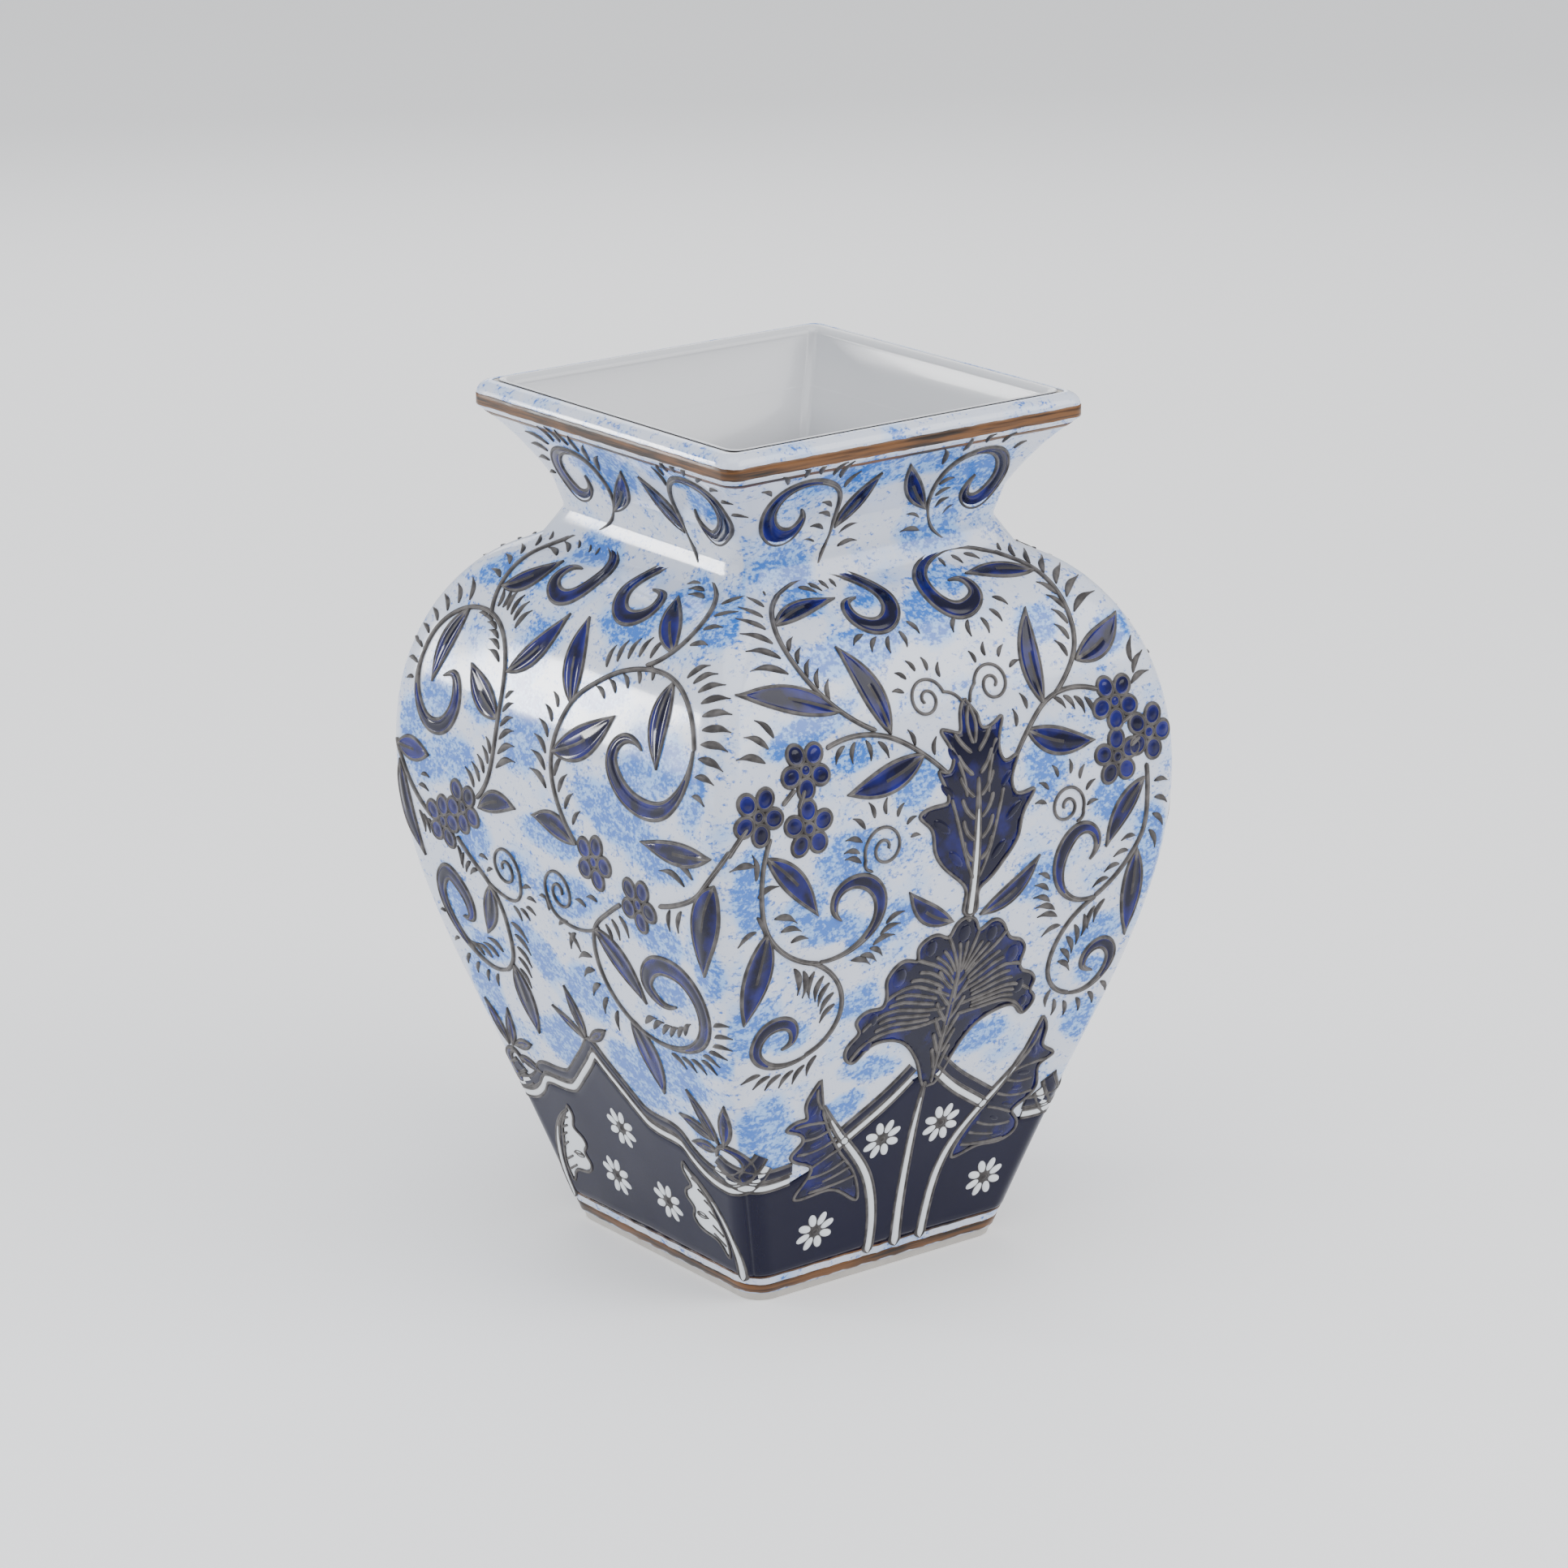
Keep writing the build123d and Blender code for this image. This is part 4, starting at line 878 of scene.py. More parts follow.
class VASE_OT_body_scrolls(MarkOperator, bpy.types.Operator):
    """Raise the scrolls on the belly and below it"""

    bl_idname = "vase.body_scrolls"
    bl_label = "Body scrolls"
    node = "body_scrolls"

    def front(self, pile):
        for marks in (
            ((-54, 139.2, 1.4), (-45, 140, 2.0), (-37, 144, 3.2), (-31.8, 151, 4.8), (-32, 158.6, 6),
             (-37, 164, 6), (-43.8, 165.2, 5), (-49.4, 162.2, 4), (-50.4, 157, 3), (-47.6, 153, 1)),
            ((61, 137.4, 1.4), (52.6, 138.4, 2.2), (46.4, 143.8, 3.6), (44.2, 152, 5.6), (47, 160.4, 6.4),
             (53, 164.4, 5.2), (58.6, 162.2, 4), (60.2, 157, 3), (57.6, 152.6, 1)),
            ((-54.7, 103, 1.4), (-63, 101.6, 2.2), (-71.4, 104.4, 3.6), (-75.6, 110.6, 5), (-73.4, 117, 6),
             (-67, 119, 5.8), (-61.4, 115.8, 4.6), (-61, 111, 3.2), (-64.6, 108.6, 1)),
            ((58.7, 99.8, 1.4), (66, 100.2, 2.2), (72.4, 105.6, 3.6), (74, 112.6, 5), (69.6, 117.6, 5.4),
             (63.7, 116, 4.2), (62, 110.4, 3), (66.5, 107.4, 1)),
        ):
            ribbon(pile, marks)

    def side(self, pile):
        for marks in (
            ((-77.8, 214, 1.4), (-79.2, 205.5, 2.6), (-77, 197, 4.2), (-71.2, 191, 5.6), (-63.4, 190.8, 6.4),
             (-57, 196, 6.4), (-55, 203.6, 5.6), (-57.8, 209.6, 3.8), (-63.6, 208.4, 1)),
            ((77.6, 214, 1.4), (77, 206, 3.0), (73, 198.4, 4.8), (66.6, 192.8, 6.2), (58.4, 190.6, 7.2),
             (48.6, 191.6, 7.4), (39.6, 196.6, 7.2), (35.8, 203.4, 6.2), (39, 209.4, 4.6), (45.4, 211, 3),
             (51, 209, 1)),
            ((-44, 105, 1.4), (-52, 103.4, 1.8), (-62, 107, 2.6), (-69.6, 114.6, 4.2), (-73.6, 124, 5),
             (-72.4, 132.6, 6), (-66.8, 137, 6.8), (-60.6, 133.4, 7), (-57, 126.6, 6), (-58.4, 121.4, 3.8),
             (-62.8, 121, 1)),
            ((36.6, 105.6, 1.4), (48, 103.7, 1.8), (60.4, 105.6, 3.0), (69.8, 110.4, 4.6), (76.4, 118.4, 6.2),
             (77, 128, 7.6), (70.4, 135.4, 7.8), (61, 137, 7.6), (51.6, 134, 7.4), (47.6, 127, 6.4),
             (52, 122.2, 4.2), (62, 122.4, 1)),
        ):
            ribbon(pile, marks)


class VASE_OT_curls(MarkOperator, bpy.types.Operator):
    """Raise the thin spirals"""

    bl_idname = "vase.curls"
    bl_label = "Curls"
    node = "curls"
    slot_name = "raised_outline"

    def front(self, pile):
        curl(pile, -8, 219.5, 10, 7.4, 1)
        curl(pile, 19.5, 220, 170, 7.4, -1)
        curl(pile, -30.5, 174.5, 200, 8.4, -1)
        curl(pile, 46, 173.5, -20, 7.6, 1)
        lines(pile, 1.2, ((6.2, 216), (3, 219.5), (-0.7, 220.8)), ((9.2, 216), (10.2, 219), (12.3, 221.2)),
              ((-36, 167.6), (-38.4, 169.4), (-38.4, 171.8)), ((51, 167.4), (53, 169), (53.2, 171)))

    def side(self, pile):
        curl(pile, -28, 148.5, -20, 8.6, 1)
        curl(pile, 4, 148.5, 200, 8.6, -1)
        lines(pile, 1.25, ((-41, 140.5), (-33, 137.4), (-25, 137.4), (-20.6, 142), (-20, 145.4)),
              ((24.4, 141), (16.5, 137.8), (6, 137.2), (-1.8, 140.2), (-4, 145.4)))


class VASE_OT_vines(MarkOperator, bpy.types.Operator):
    """Raise the thin stems that tie the leaves and flowers together"""

    bl_idname = "vase.vines"
    bl_label = "Vines"
    node = "vines"
    slot_name = "raised_outline"

    def front(self, pile):
        lines(
            pile, 1.9,
            ((-45, 267.2), (-52, 260), (-55.6, 250), (-54.4, 240.5), (-49.9, 230.8), (-43, 222.5),
             (-31, 213.8)),
            ((-50, 211.5), (-37, 213), (-24.7, 210), (-13, 202.6), (-4.5, 195)),
            ((45.4, 266.2), (53, 257.4), (57.6, 246), (58.4, 236), (56.4, 226), (50.3, 217.5), (43.6, 211.6)),
            ((61.2, 210.8), (50.3, 212.9), (40.3, 210.6), (32, 203.6), (25.5, 195.5)),
            ((-76.7, 186), (-79.7, 176), (-80, 166), (-78, 156.6), (-73, 149), (-64.7, 142.5), (-55.5, 139)),
            ((-57.5, 139.5), (-49.7, 134.4), (-43.8, 126), (-42.6, 117.5), (-46.3, 109), (-53.6, 103.8)),
            ((80.7, 181), (81.2, 169), (80.3, 159), (76.2, 151), (70.3, 144), (62.4, 138)),
            ((61.2, 136.8), (52.8, 130.8), (47.3, 121), (46.8, 111), (51.2, 103.8), (57.6, 100.2)),
            ((-66, 200), (-70, 197)), ((-64, 195), (-62, 199)), ((74, 199), (71.6, 198)), ((74.6, 189.6),
             (77, 191)),
            ((-92, 184), (-88, 189), (-86, 191)),
        )

    def side(self, pile):
        lines(
            pile, 1.9,
            ((-39.6, 269.2), (-46.6, 262), (-50, 252.5), (-50.5, 242.5), (-48, 234)),
            ((-77.8, 214.6), (-73.4, 224), (-66.3, 230.4), (-58, 233.8), (-48, 233.8), (-40, 230.6),
             (-33.6, 224), (-30, 215), (-29.4, 204), (-30.5, 191), (-33.8, 179.6), (-40.5, 171.4)),
            ((42, 271.2), (49.4, 264.4), (53.8, 255), (52.8, 247), (48.4, 240.6), (41.6, 235.6)),
            ((77.6, 215.6), (72, 224.4), (63.7, 231), (52, 234.6), (40.3, 233.8), (28.7, 230), (18.7, 224),
             (11, 217.6), (5.4, 208), (2.9, 198), (4, 188.6), (8.4, 179.6), (17, 169.6)),
            ((-55.5, 152.6), (-48, 146), (-41, 140.4), (-36, 133), (-34.6, 122.5), (-36.6, 112.5),
             (-43, 105.4)),
            ((39.5, 153.4), (30.3, 147.5), (22.6, 141), (19.6, 131), (21.2, 121), (26.2, 112.6), (35.4, 106)),
            ((-71.5, 157.4), (-79.7, 164), (-86, 173), (-89.4, 180)),
            ((64, 159.6), (75.3, 163.3), (85.7, 169.3), (93, 178), (97.4, 184.6)),
        )


class VASE_OT_sprigs(MarkOperator, bpy.types.Operator):
    """Raise the small sprigs on the border of the two sides"""

    bl_idname = "vase.sprigs"
    bl_label = "Sprigs"
    node = "sprigs"

    def side(self, pile):
        for marks in (
            (-3.8, 89, -19.9, 98.3, 4.2), (-3.2, 90.6, -7.7, 109.9, 6), (-2, 89.4, 11.4, 97.7, 4.8),
            (62.6, 68.6, 52.8, 87.8, 6.4), (65.4, 68.6, 73, 87.5, 6), (60.6, 69.6, 43.2, 75, 5.8),
            (60.2, 65.4, 45.8, 64.6, 5), (-58, 69, -53, 86.6, 5.6), (-60.2, 69, -66.8, 86.8, 5.6),
            (-56.4, 70, -44.3, 73.8, 5), (-56.4, 65.4, -43.3, 62.6, 4.8),
        ):
            leaf(pile, *marks)
        ribbon(pile, ((59, 63.4, 1.4), (62.6, 67.6, 2.4), (68.4, 67, 4), (71, 61.4, 5), (68, 56, 5)))
        ribbon(pile, ((-55, 63.4, 1.4), (-58, 67, 2.4), (-62.6, 65.4, 4), (-64, 60, 5), (-61, 55.6, 5)))


class VASE_OT_daisies(MarkOperator, bpy.types.Operator):
    """Raise the white daisies on the skirt"""

    bl_idname = "vase.daisies"
    bl_label = "Daisies"
    node = "daisies"
    finish = "white_enamel"
    slot_name = "white_enamel"

    def front(self, pile):
        for x, s in ((-11.7, 57.6), (13.6, 57.6), (-33, 25.2), (39.5, 27.4)):
            daisy(pile, x, s)

    def side(self, pile):
        for x, s in ((0.1, 54.1), (-13.5, 29.8), (16.5, 29.4)):
            daisy(pile, x, s)


class VASE_OT_half_leaves(MarkOperator, bpy.types.Operator):
    """Raise the white half-leaves in the lower corners of the two sides"""

    bl_idname = "vase.half_leaves"
    bl_label = "Half-leaves"
    node = "half_leaves"
    finish = "white_enamel"
    slot_name = "white_enamel"

    OUTLINE_PLACES = (
        (34.8, 52.4), (33.4, 48), (35.4, 43), (31.4, 40), (30.4, 37), (33, 33), (31.2, 29), (33, 25.4),
        (38.4, 23.6), (43.6, 21.4), (46.6, 17), (48, 20.6), (47.2, 29), (44.4, 37), (40, 45),
    )

    AXIS = 0.8                # the line that the two half-leaves are mirrored in
    STALK = ((36, 50, 1.8), (44, 43, 2.8), (50, 31, 4), (51.6, 20, 4.4), (50.4, 11, 4.6))
    VEINS = (
        ((46, 32), (42.6, 34.4)), ((45, 36.6), (41.6, 38.6)), ((43, 40.6), (39.6, 42.4)),
        ((46.6, 26), (42.4, 28.6)), ((46.4, 22), (41.6, 25)), ((40, 31), (34.6, 31.4)),
        ((40.4, 45), (37.6, 46.4)),
    )

    def side(self, pile):
        for turned in (False, True):
            outline, stalk, drop, *veins = (
                mirrored(marks, self.AXIS) if turned else marks
                for marks in (self.OUTLINE_PLACES, self.STALK, ((37, 31.2),), *self.VEINS)
            )
            plate(pile, outline, pile.enamel.pool_height, 0.1)
            closed_line(pile, outline, 1.3)
            ribbon(pile, stalk)
            lines(pile, 1.1, *veins)
            button(pile, *drop[0], 1.5, 3.2, 0)


# The middle line of the border on each face, and the stretches of it that the front's leaves leave bare.
FRONT_BORDER = ((-80, 60), (-74, 57.5), (-66, 54.6), (-57, 53.4), (-48, 54.2), (-39, 57.6), (-29, 64.5),
                (-17, 73),
                (-5, 84))
FRONT_BORDER_PIECES = (((-80, 60), (-74, 57.5), (-66, 54.6), (-57, 53.4), (-49, 54)),
                       ((-31, 63), (-24, 68), (-17, 73), (-5, 84)))
SIDE_BORDER = ((-2, 86.6), (1, 84.2), (6, 79), (12, 73.4), (18.2, 67.6), (20.2, 66.2), (22.6, 65.4),
               (30, 64.6),
               (37, 64), (39.4, 62.8), (41.4, 60.2), (44.6, 57), (49, 54.2), (57, 52.4), (65, 53.6),
               (71, 57.6),
               (77, 63))


def lowered(path, drop):
    """A path moved down along the face."""
    return [(x, s - drop) for x, s in path]


class VASE_OT_border(MarkOperator, bpy.types.Operator):
    """Raise the navy and white border over the skirt"""

    bl_idname = "vase.border"
    bl_label = "Border"
    node = "border"
    finish = "navy"
    slot_name = "navy_enamel"

    def stripes(self, pile, path):
        """A navy stripe over a white one along the same path."""
        ribbon(pile, [(x, s, 5.4) for x, s in lowered(path, -1.6)], rounded=False)
        ribbon(pile, [(x, s, 4.7) for x, s in lowered(path, 3.2)], rounded=False, fill=WHITE)

    def front(self, pile):
        for path in FRONT_BORDER_PIECES:
            self.stripes(pile, path)
            self.stripes(pile, mirrored(path, 0.75)[::-1])

    def side(self, pile):
        self.stripes(pile, mirrored(SIDE_BORDER, -2)[::-1] + list(SIDE_BORDER[1:]))


class VASE_OT_skirt(MarkOperator, bpy.types.Operator):
    """Flood the skirt with navy enamel, from the border down to the foot band"""

    bl_idname = "vase.skirt"
    bl_label = "Skirt"
    node = "skirt"
    finish = "skirt"
    slot_name = "navy_enamel"

    LOW_EDGE = 10.4           # up along the face
    THICKNESS = 0.42
    BORDER_GAP = 4.4          # from the border's middle line down to the skirt

    def flood(self, pile, path):
        """Fill the face below a path, right out to its corners."""
        form = pile.form
        path = np.array(path)
        share = np.linspace(-1, 1, 101)
        top = np.full_like(share, 60.0)
        for _ in range(8):
            top = np.interp(share * form.mitre(top), path[:, 0], path[:, 1]) - self.BORDER_GAP
        rise = np.linspace(0, 1, 26)[:, None]
        s = blend(self.LOW_EDGE, top[None, :], rise)
        x = share[None, :] * form.mitre(s)
        height = np.full_like(s, self.THICKNESS)
        height[0] = height[-1] = 0.0
        s = np.vstack([s, s[::-1]])
        x = np.vstack([x, x[::-1]])
        height = np.vstack([height, np.full_like(height, -SINK)])
        rows, columns = s.shape
        faces = quads(rows, columns, False, True).tolist()
        half = rows // 2
        for column, flip in ((0, False), (columns - 1, True)):
            for row in range(half - 1):
                a, b = row * columns + column, (row + 1) * columns + column
                c, d = (rows - 2 - row) * columns + column, (rows - 1 - row) * columns + column
                face = [a, b, c, d]
                faces.append(face[::-1] if flip else face)
        pile.add(x, s, height, faces, POOL, 0.0)

    def front(self, pile):
        left = list(FRONT_BORDER)
        self.flood(pile, left + [(0.75, 86)] + mirrored(left, 0.75)[::-1])

    def side(self, pile):
        self.flood(pile, mirrored(SIDE_BORDER, -2)[::-1] + list(SIDE_BORDER[1:]))


# Rows of dashes: places of their roots, how many, first and last direction in degrees, and first and
# last length.
FRONT_DASHES = (
    (((-50.6, 307), (-45, 312.4), (-37, 314), (-29, 311.8)), 5, (150, 70), (6, 8)),
    (((-25, 309.5), (-21, 304)), 2, (80, 62), (9, 8)),
    (((-22, 296), (-21, 291), (-22.5, 286.4), (-25, 282.6)), 4, (150, 165), (5.5, 6.5)),
    (((-17.6, 283.6), (-17, 279.6)), 2, (20, 5), (9, 8)),
    (((19, 306), (24, 311), (32, 314), (40, 312.4), (47.6, 307.6)), 5, (110, 35), (9, 5)),
    (((21, 296.4), (21.4, 291), (22.6, 286.4), (26, 283)), 4, (20, 35), (6, 6)),
    (((18.4, 283.4), (18.4, 279.4)), 2, (160, 175), (8, 8)),
    (((-49, 267.4), (-53, 262), (-56.8, 256.4), (-58, 250), (-57.6, 243), (-57, 237)), 7, (115, 165),
     (4, 14)),
    (((-54.4, 244), (-53, 239), (-51.4, 234.4), (-48, 229), (-45.6, 225.4)), 5, (52, 75), (6, 7)),
    (((-36.6, 269), (-31, 270.2), (-26.6, 270.6), (-23.6, 270.4)), 4, (-32, -70), (6.5, 4)),
    (((-23.4, 245.4), (-19, 243.8), (-14, 243.4), (-9.6, 244.6), (-6, 247)), 5, (-150, -60), (6, 6)),
    (((47.6, 266), (52.4, 260), (55.6, 254), (58.4, 247.6), (60, 241), (60.2, 237)), 7, (80, 25), (5, 13)),
    (((57.4, 244), (58, 238.6), (57, 232.6), (55.4, 227.6), (53, 222.6)), 5, (132, 120), (8, 7)),
    (((22, 269.6), (27, 269.6), (32, 269)), 3, (-80, -35), (4, 6)),
    (((14, 245), (18, 243.2), (23, 243), (28, 245.4), (31, 249)), 5, (-120, -40), (6, 6)),
    (((-15.4, 223), (-13.6, 226.6), (-9.4, 228.6), (-4, 227.6), (-0.6, 225)), 5, (165, 80), (4.6, 5)),
    (((15.4, 227), (20, 228.6), (25, 227), (27.4, 223.6)), 4, (110, 20), (4.6, 5)),
    (((-69.6, 217.6), (-72.4, 214.6), (-74.4, 210.8)), 3, (130, 165), (9, 11)),
    (((76, 209.4), (77.6, 212), (78.4, 216)), 3, (20, 75), (9, 9)),
    (((-43, 211.4), (-38.4, 212), (-34, 211.6), (-30.6, 210.4)), 4, (-130, -60), (7, 7)),
    (((43, 211.4), (48, 211.4), (52.4, 210.4), (56, 209.6)), 4, (-45, -68), (6, 8)),
    (((-15.4, 205), (-8.4, 200.6)), 2, (110, 75), (6, 6)),
    (((26.4, 203.6), (32, 208.6)), 2, (95, 110), (6, 6)),
    (((-39, 178), (-38, 181.6), (-34.6, 184.4), (-30, 185), (-25, 183), (-21.6, 179.6), (-20.6, 176)), 7,
     (165, 0), (7, 4)),
    (((-39.4, 171), (-40, 174.6)), 2, (160, 170), (7, 6.5)),
    (((38, 176), (38.6, 180), (42, 183.4), (46.6, 184), (50.6, 182), (53.4, 178), (54, 172)), 7,
     (170, 12), (5, 5)),
    (((-82, 178.6), (-82.4, 172.6), (-82.4, 167), (-82, 161.4), (-81, 156.6)), 5, (180, -148), (9.5, 8)),
    (((-75.4, 159.4), (-72.4, 154), (-68, 149.2)), 3, (-20, 0), (10, 7)),
    (((-65, 140), (-60, 138), (-56, 137), (-52, 134.6), (-48, 130), (-46, 126), (-45, 122)), 7,
     (-75, -130), (11, 8)),
    (((-29, 147), (-31, 143.6), (-33.6, 140.4)), 3, (22, 12), (8, 9)),
    (((-34.6, 140), (-38.6, 138), (-42, 137)), 3, (-35, -22), (7, 9)),
    (((83.4, 175), (83.8, 169.4), (83.4, 163.6), (82.6, 158.4)), 4, (-8, -65), (6, 8)),
    (((77.6, 157), (75.4, 152.6), (72, 148), (67.6, 143.6)), 4, (-172, -160), (6, 7)),
    (((41.4, 148), (41.4, 144), (42.6, 139.6), (45.4, 136)), 4, (150, 165), (6, 9)),
    (((47, 133), (49, 129.6)), 2, (170, -160), (9, 8)),
    (((67, 136), (63, 134.4), (59, 132.4), (55.4, 129.4), (52, 125), (50, 120), (49.8, 115)), 7,
     (-112, -40), (9, 8)),
    (((-71, 100.4), (-67, 99), (-62.4, 98.6), (-58, 99), (-53.6, 100), (-49, 103)), 6, (-158, -108), (7, 8)),
    (((50, 104), (53, 99), (57, 97.6), (62, 97.4), (67, 98.4), (72, 101.6)), 6, (-95, -52), (7, 6)),
)
SIDE_DASHES = (
    (((-38.6, 306.6), (-43, 302), (-45.6, 297), (-46, 292.4)), 4, (160, 190), (11, 4)),
    (((-33.4, 309), (-28, 310), (-22.6, 309), (-18.6, 305.4), (-15, 300.4)), 6, (108, 55), (8, 10)),
    (((26, 304), (30, 310)), 2, (92, 80), (9, 6)),
    (((35, 313.4), (42, 314.8), (49, 313.4), (54, 309.6), (56, 304.4), (56.4, 299.6)), 7, (70, -10), (7, 5)),
    (((-43.6, 269), (-47.6, 265.4), (-50.6, 260.6), (-52.4, 255), (-52.8, 250), (-52.6, 246)), 6,
     (98, 165), (5, 7)),
    (((-30.4, 266.4), (-33.4, 263.6), (-36, 261)), 3, (135, 165), (6, 8)),
    (((-27, 270.6), (-20, 271)), 2, (-60, -100), (3.6, 3.6)),
    (((-46, 235.8), (-43, 236), (-39.6, 235.4), (-36, 233.8), (-33, 231)), 6, (105, 58), (7, 9)),
    (((-48.6, 232), (-43.6, 230.6), (-39.6, 227.6), (-36.6, 223.4), (-34.4, 219)), 6, (175, 160), (5, 8)),
    (((-62, 234.6), (-66, 233), (-71, 229), (-75.6, 223), (-78.6, 216), (-80, 209)), 7, (120, 172), (9, 4)),
    (((48.4, 268.6), (52.4, 263.6), (55, 258), (55.8, 252), (55, 246)), 5, (50, 15), (6, 8)),
    (((30, 272.4), (35, 270.6), (40, 268), (44, 264.6)), 5, (-155, -175), (5, 8)),
    (((21.6, 229.4), (26, 232.4), (31, 234.6), (36, 236.4), (40.6, 237)), 5, (88, 72), (8, 8)),
    (((26.4, 220), (32, 223.4), (38, 226.4), (44, 229.6), (47, 230.6)), 5, (155, 128), (7, 6)),
    (((62, 235.4), (68, 233.6), (73, 230), (76.6, 225.4), (79, 219.6), (80, 213)), 8, (40, -12), (10, 11)),
    (((80, 207), (80, 201)), 2, (-5, -15), (9, 7)),
    (((-82, 216), (-81.6, 210), (-81, 204)), 3, (170, 195), (4, 4)),
    (((-27.6, 208), (-28, 203), (-28.4, 197), (-28.6, 191), (-29.6, 184)), 6, (42, 22), (5, 12)),
    (((-32.4, 187.6), (-34, 183), (-36.6, 179), (-39, 176), (-42, 173.6)), 5, (118, 130), (6, 8)),
    (((3, 211.6), (1.4, 207), (0.4, 202), (0, 196), (0.4, 190), (1.4, 184)), 6, (132, 155), (6, 11)),
    (((5, 189), (7.6, 184), (11, 179.6), (15.6, 175)), 4, (62, 52), (9, 7)),
    (((83.6, 173.4), (79, 170)), 2, (165, 172), (12, 14)),
    (((69, 160.4), (75.6, 161.6)), 2, (-100, -110), (8, 9)),
    (((-76, 171), (-78, 167)), 2, (0, -10), (5, 6)),
    (((-79, 158), (-76.6, 157), (-74, 156)), 3, (-75, -60), (8, 6)),
    (((-57, 150.4), (-53, 148), (-49.6, 145.6), (-46, 143.4)), 4, (-88, -150), (7, 6)),
    (((-44.6, 149.4), (-41, 144)), 2, (-5, 25), (5, 4)),
    (((-19.6, 143.6), (-18.4, 141), (-19.4, 137.6), (-23, 135.6), (-28, 135.4)), 5, (15, -55), (5, 6)),
    (((-4.6, 143.6), (-5, 140), (-3.4, 136.4), (2, 134.4), (9.6, 135.4)), 5, (178, -125), (4, 9)),
    (((19.6, 147), (27, 151)), 2, (168, 178), (6, 6)),
    (((29, 144.6), (33, 147.4), (38, 150)), 3, (-72, -62), (7, 8)),
    (((-32.6, 127.6), (-32, 122.6), (-32.8, 117.6), (-34, 113), (-35, 109)), 5, (-35, -62), (10, 8)),
    (((16.8, 128), (16.4, 122), (18, 117), (20.6, 113), (24, 110)), 5, (-162, -108), (9, 9)),
    (((-74.6, 119), (-73, 114), (-70.6, 110)), 3, (180, -150), (3.4, 4)),
    (((-61, 107), (-56, 106.4), (-51, 107), (-46.6, 108.6), (-42, 112)), 5, (150, 158), (8, 9)),
    (((39, 109), (45, 108), (51, 107.8), (57, 109), (62.4, 111.4)), 6, (28, 48), (9, 8)),
    (((81, 121), (80, 117), (77.6, 112.6), (74, 109.4), (70, 107)), 5, (8, -18), (6, 8)),
    (((-66.6, 105), (-62, 103), (-57, 101.6), (-51, 101.6)), 4, (-125, -112), (6, 6)),
    (((50, 101.6), (56, 102), (62, 103), (68, 104.6)), 4, (-32, -28), (8, 8)),
)


DASH_SWAY = 0.13          # how far a dash bows sideways, as a share of its length
DASH_GAP = 0.8            # from its row's line to where it starts
DASH_GIRTH = 2.6          # the widest that a dash may be


def comb(pile, roots, count, aims, lengths):
    """A row of comma-shaped dashes that grow from places along a curve."""
    line = smooth_curve([(*root, 0) for root in roots], 0.5)[:, :2]
    for n in range(count):
        share = n / max(1, count - 1)
        angle = math.radians(blend(*aims, share))
        size = blend(*lengths, share)
        way = np.array([math.cos(angle), math.sin(angle)])
        side = DASH_SWAY if math.cos(angle) > 0 else -DASH_SWAY
        bend = np.array([-way[1], way[0]]) * size * side
        root = line[int(share * (len(line) - 1))] + way * DASH_GAP
        fat = min(DASH_GIRTH, 1.1 + 0.14 * size)
        dash(pile, [(*(root + way * size * t + bend * math.sin(math.pi * t)), width)
                    for t, width in ((0, 0.55), (0.3, fat), (0.6, fat * 0.9), (0.85, 0.8), (1, 0.35))])


class VASE_OT_dashes(MarkOperator, bpy.types.Operator):
    """Raise the comma-shaped dashes along the vines"""

    bl_idname = "vase.dashes"
    bl_label = "Dashes"
    node = "dashes"
    slot_name = "raised_outline"
    stands_for_node = False

    def front(self, pile):
        for row in FRONT_DASHES:
            comb(pile, *row)

    def side(self, pile):
        for row in SIDE_DASHES:
            comb(pile, *row)


# ---- The pot, its glazes and its painted bands ----------------------------------------------------
COAT = 0.3                # depth of the hidden inner side of a glaze skin
PATCH_GAIN = 1.6          # how steeply a sponged patch fades at its edge


def lip_roll(half, top, radius, way, corner):
    """Sections of the lip's quarter roll, inwards (1) or outwards (-1)."""
    sections = []
    for turn in np.radians(np.linspace(0, 90, 9)):
        shift = way * radius * (1 - math.cos(turn))
        sections.append((half - shift, top - radius + radius * math.sin(turn), corner - shift / 2))
    return sections


def outer_sections(form, low, step, depth=0.0):
    """Sections of the outside from a level up to the middle of the lip, sunk by a depth."""
    sizes = form.sizes
    start = float(np.interp(low, form.level, form.run))
    sections = []
    for s in np.arange(start, form.length, step):
        half, level, out, up = form.at(s)
        corner = form.corner(level, sizes.corner) - depth / 2
        sections.append((half - depth * out, level - depth * up, corner))
    rim = sizes.rim_width / 2 - depth
    sections.append((rim, form.rim_level, sizes.rim_corner))
    sections += lip_roll(rim, sizes.height - depth, sizes.lip, 1, sizes.rim_corner)
    return sections


def inner_sections(form, step, depth=0.0):
    """Sections of the inside from the floor up to the lip, sunk by a depth."""
    sizes = form.sizes
    floor = sizes.floor - depth
    sections = []
    for s in np.arange(0, form.length, step):
        half, level, out, up = form.at(s)
        wall = blend(sizes.wall, sizes.rim_wall, form.above_waist(level)) - depth
        if level < form.waist:
            half, level = half - wall * out, level - wall * up
        else:
            half = half - wall
        if floor < level < form.rim_level:
            sections.append((half, level, sizes.inner_corner))
    sections = [(sections[0][0] - 0.3, floor, sizes.inner_corner)] + sections
    rim = sizes.rim_width / 2 - sizes.rim_wall + depth
    return sections + lip_roll(rim, sizes.height - depth, sizes.inner_lip, -1, sizes.inner_corner)


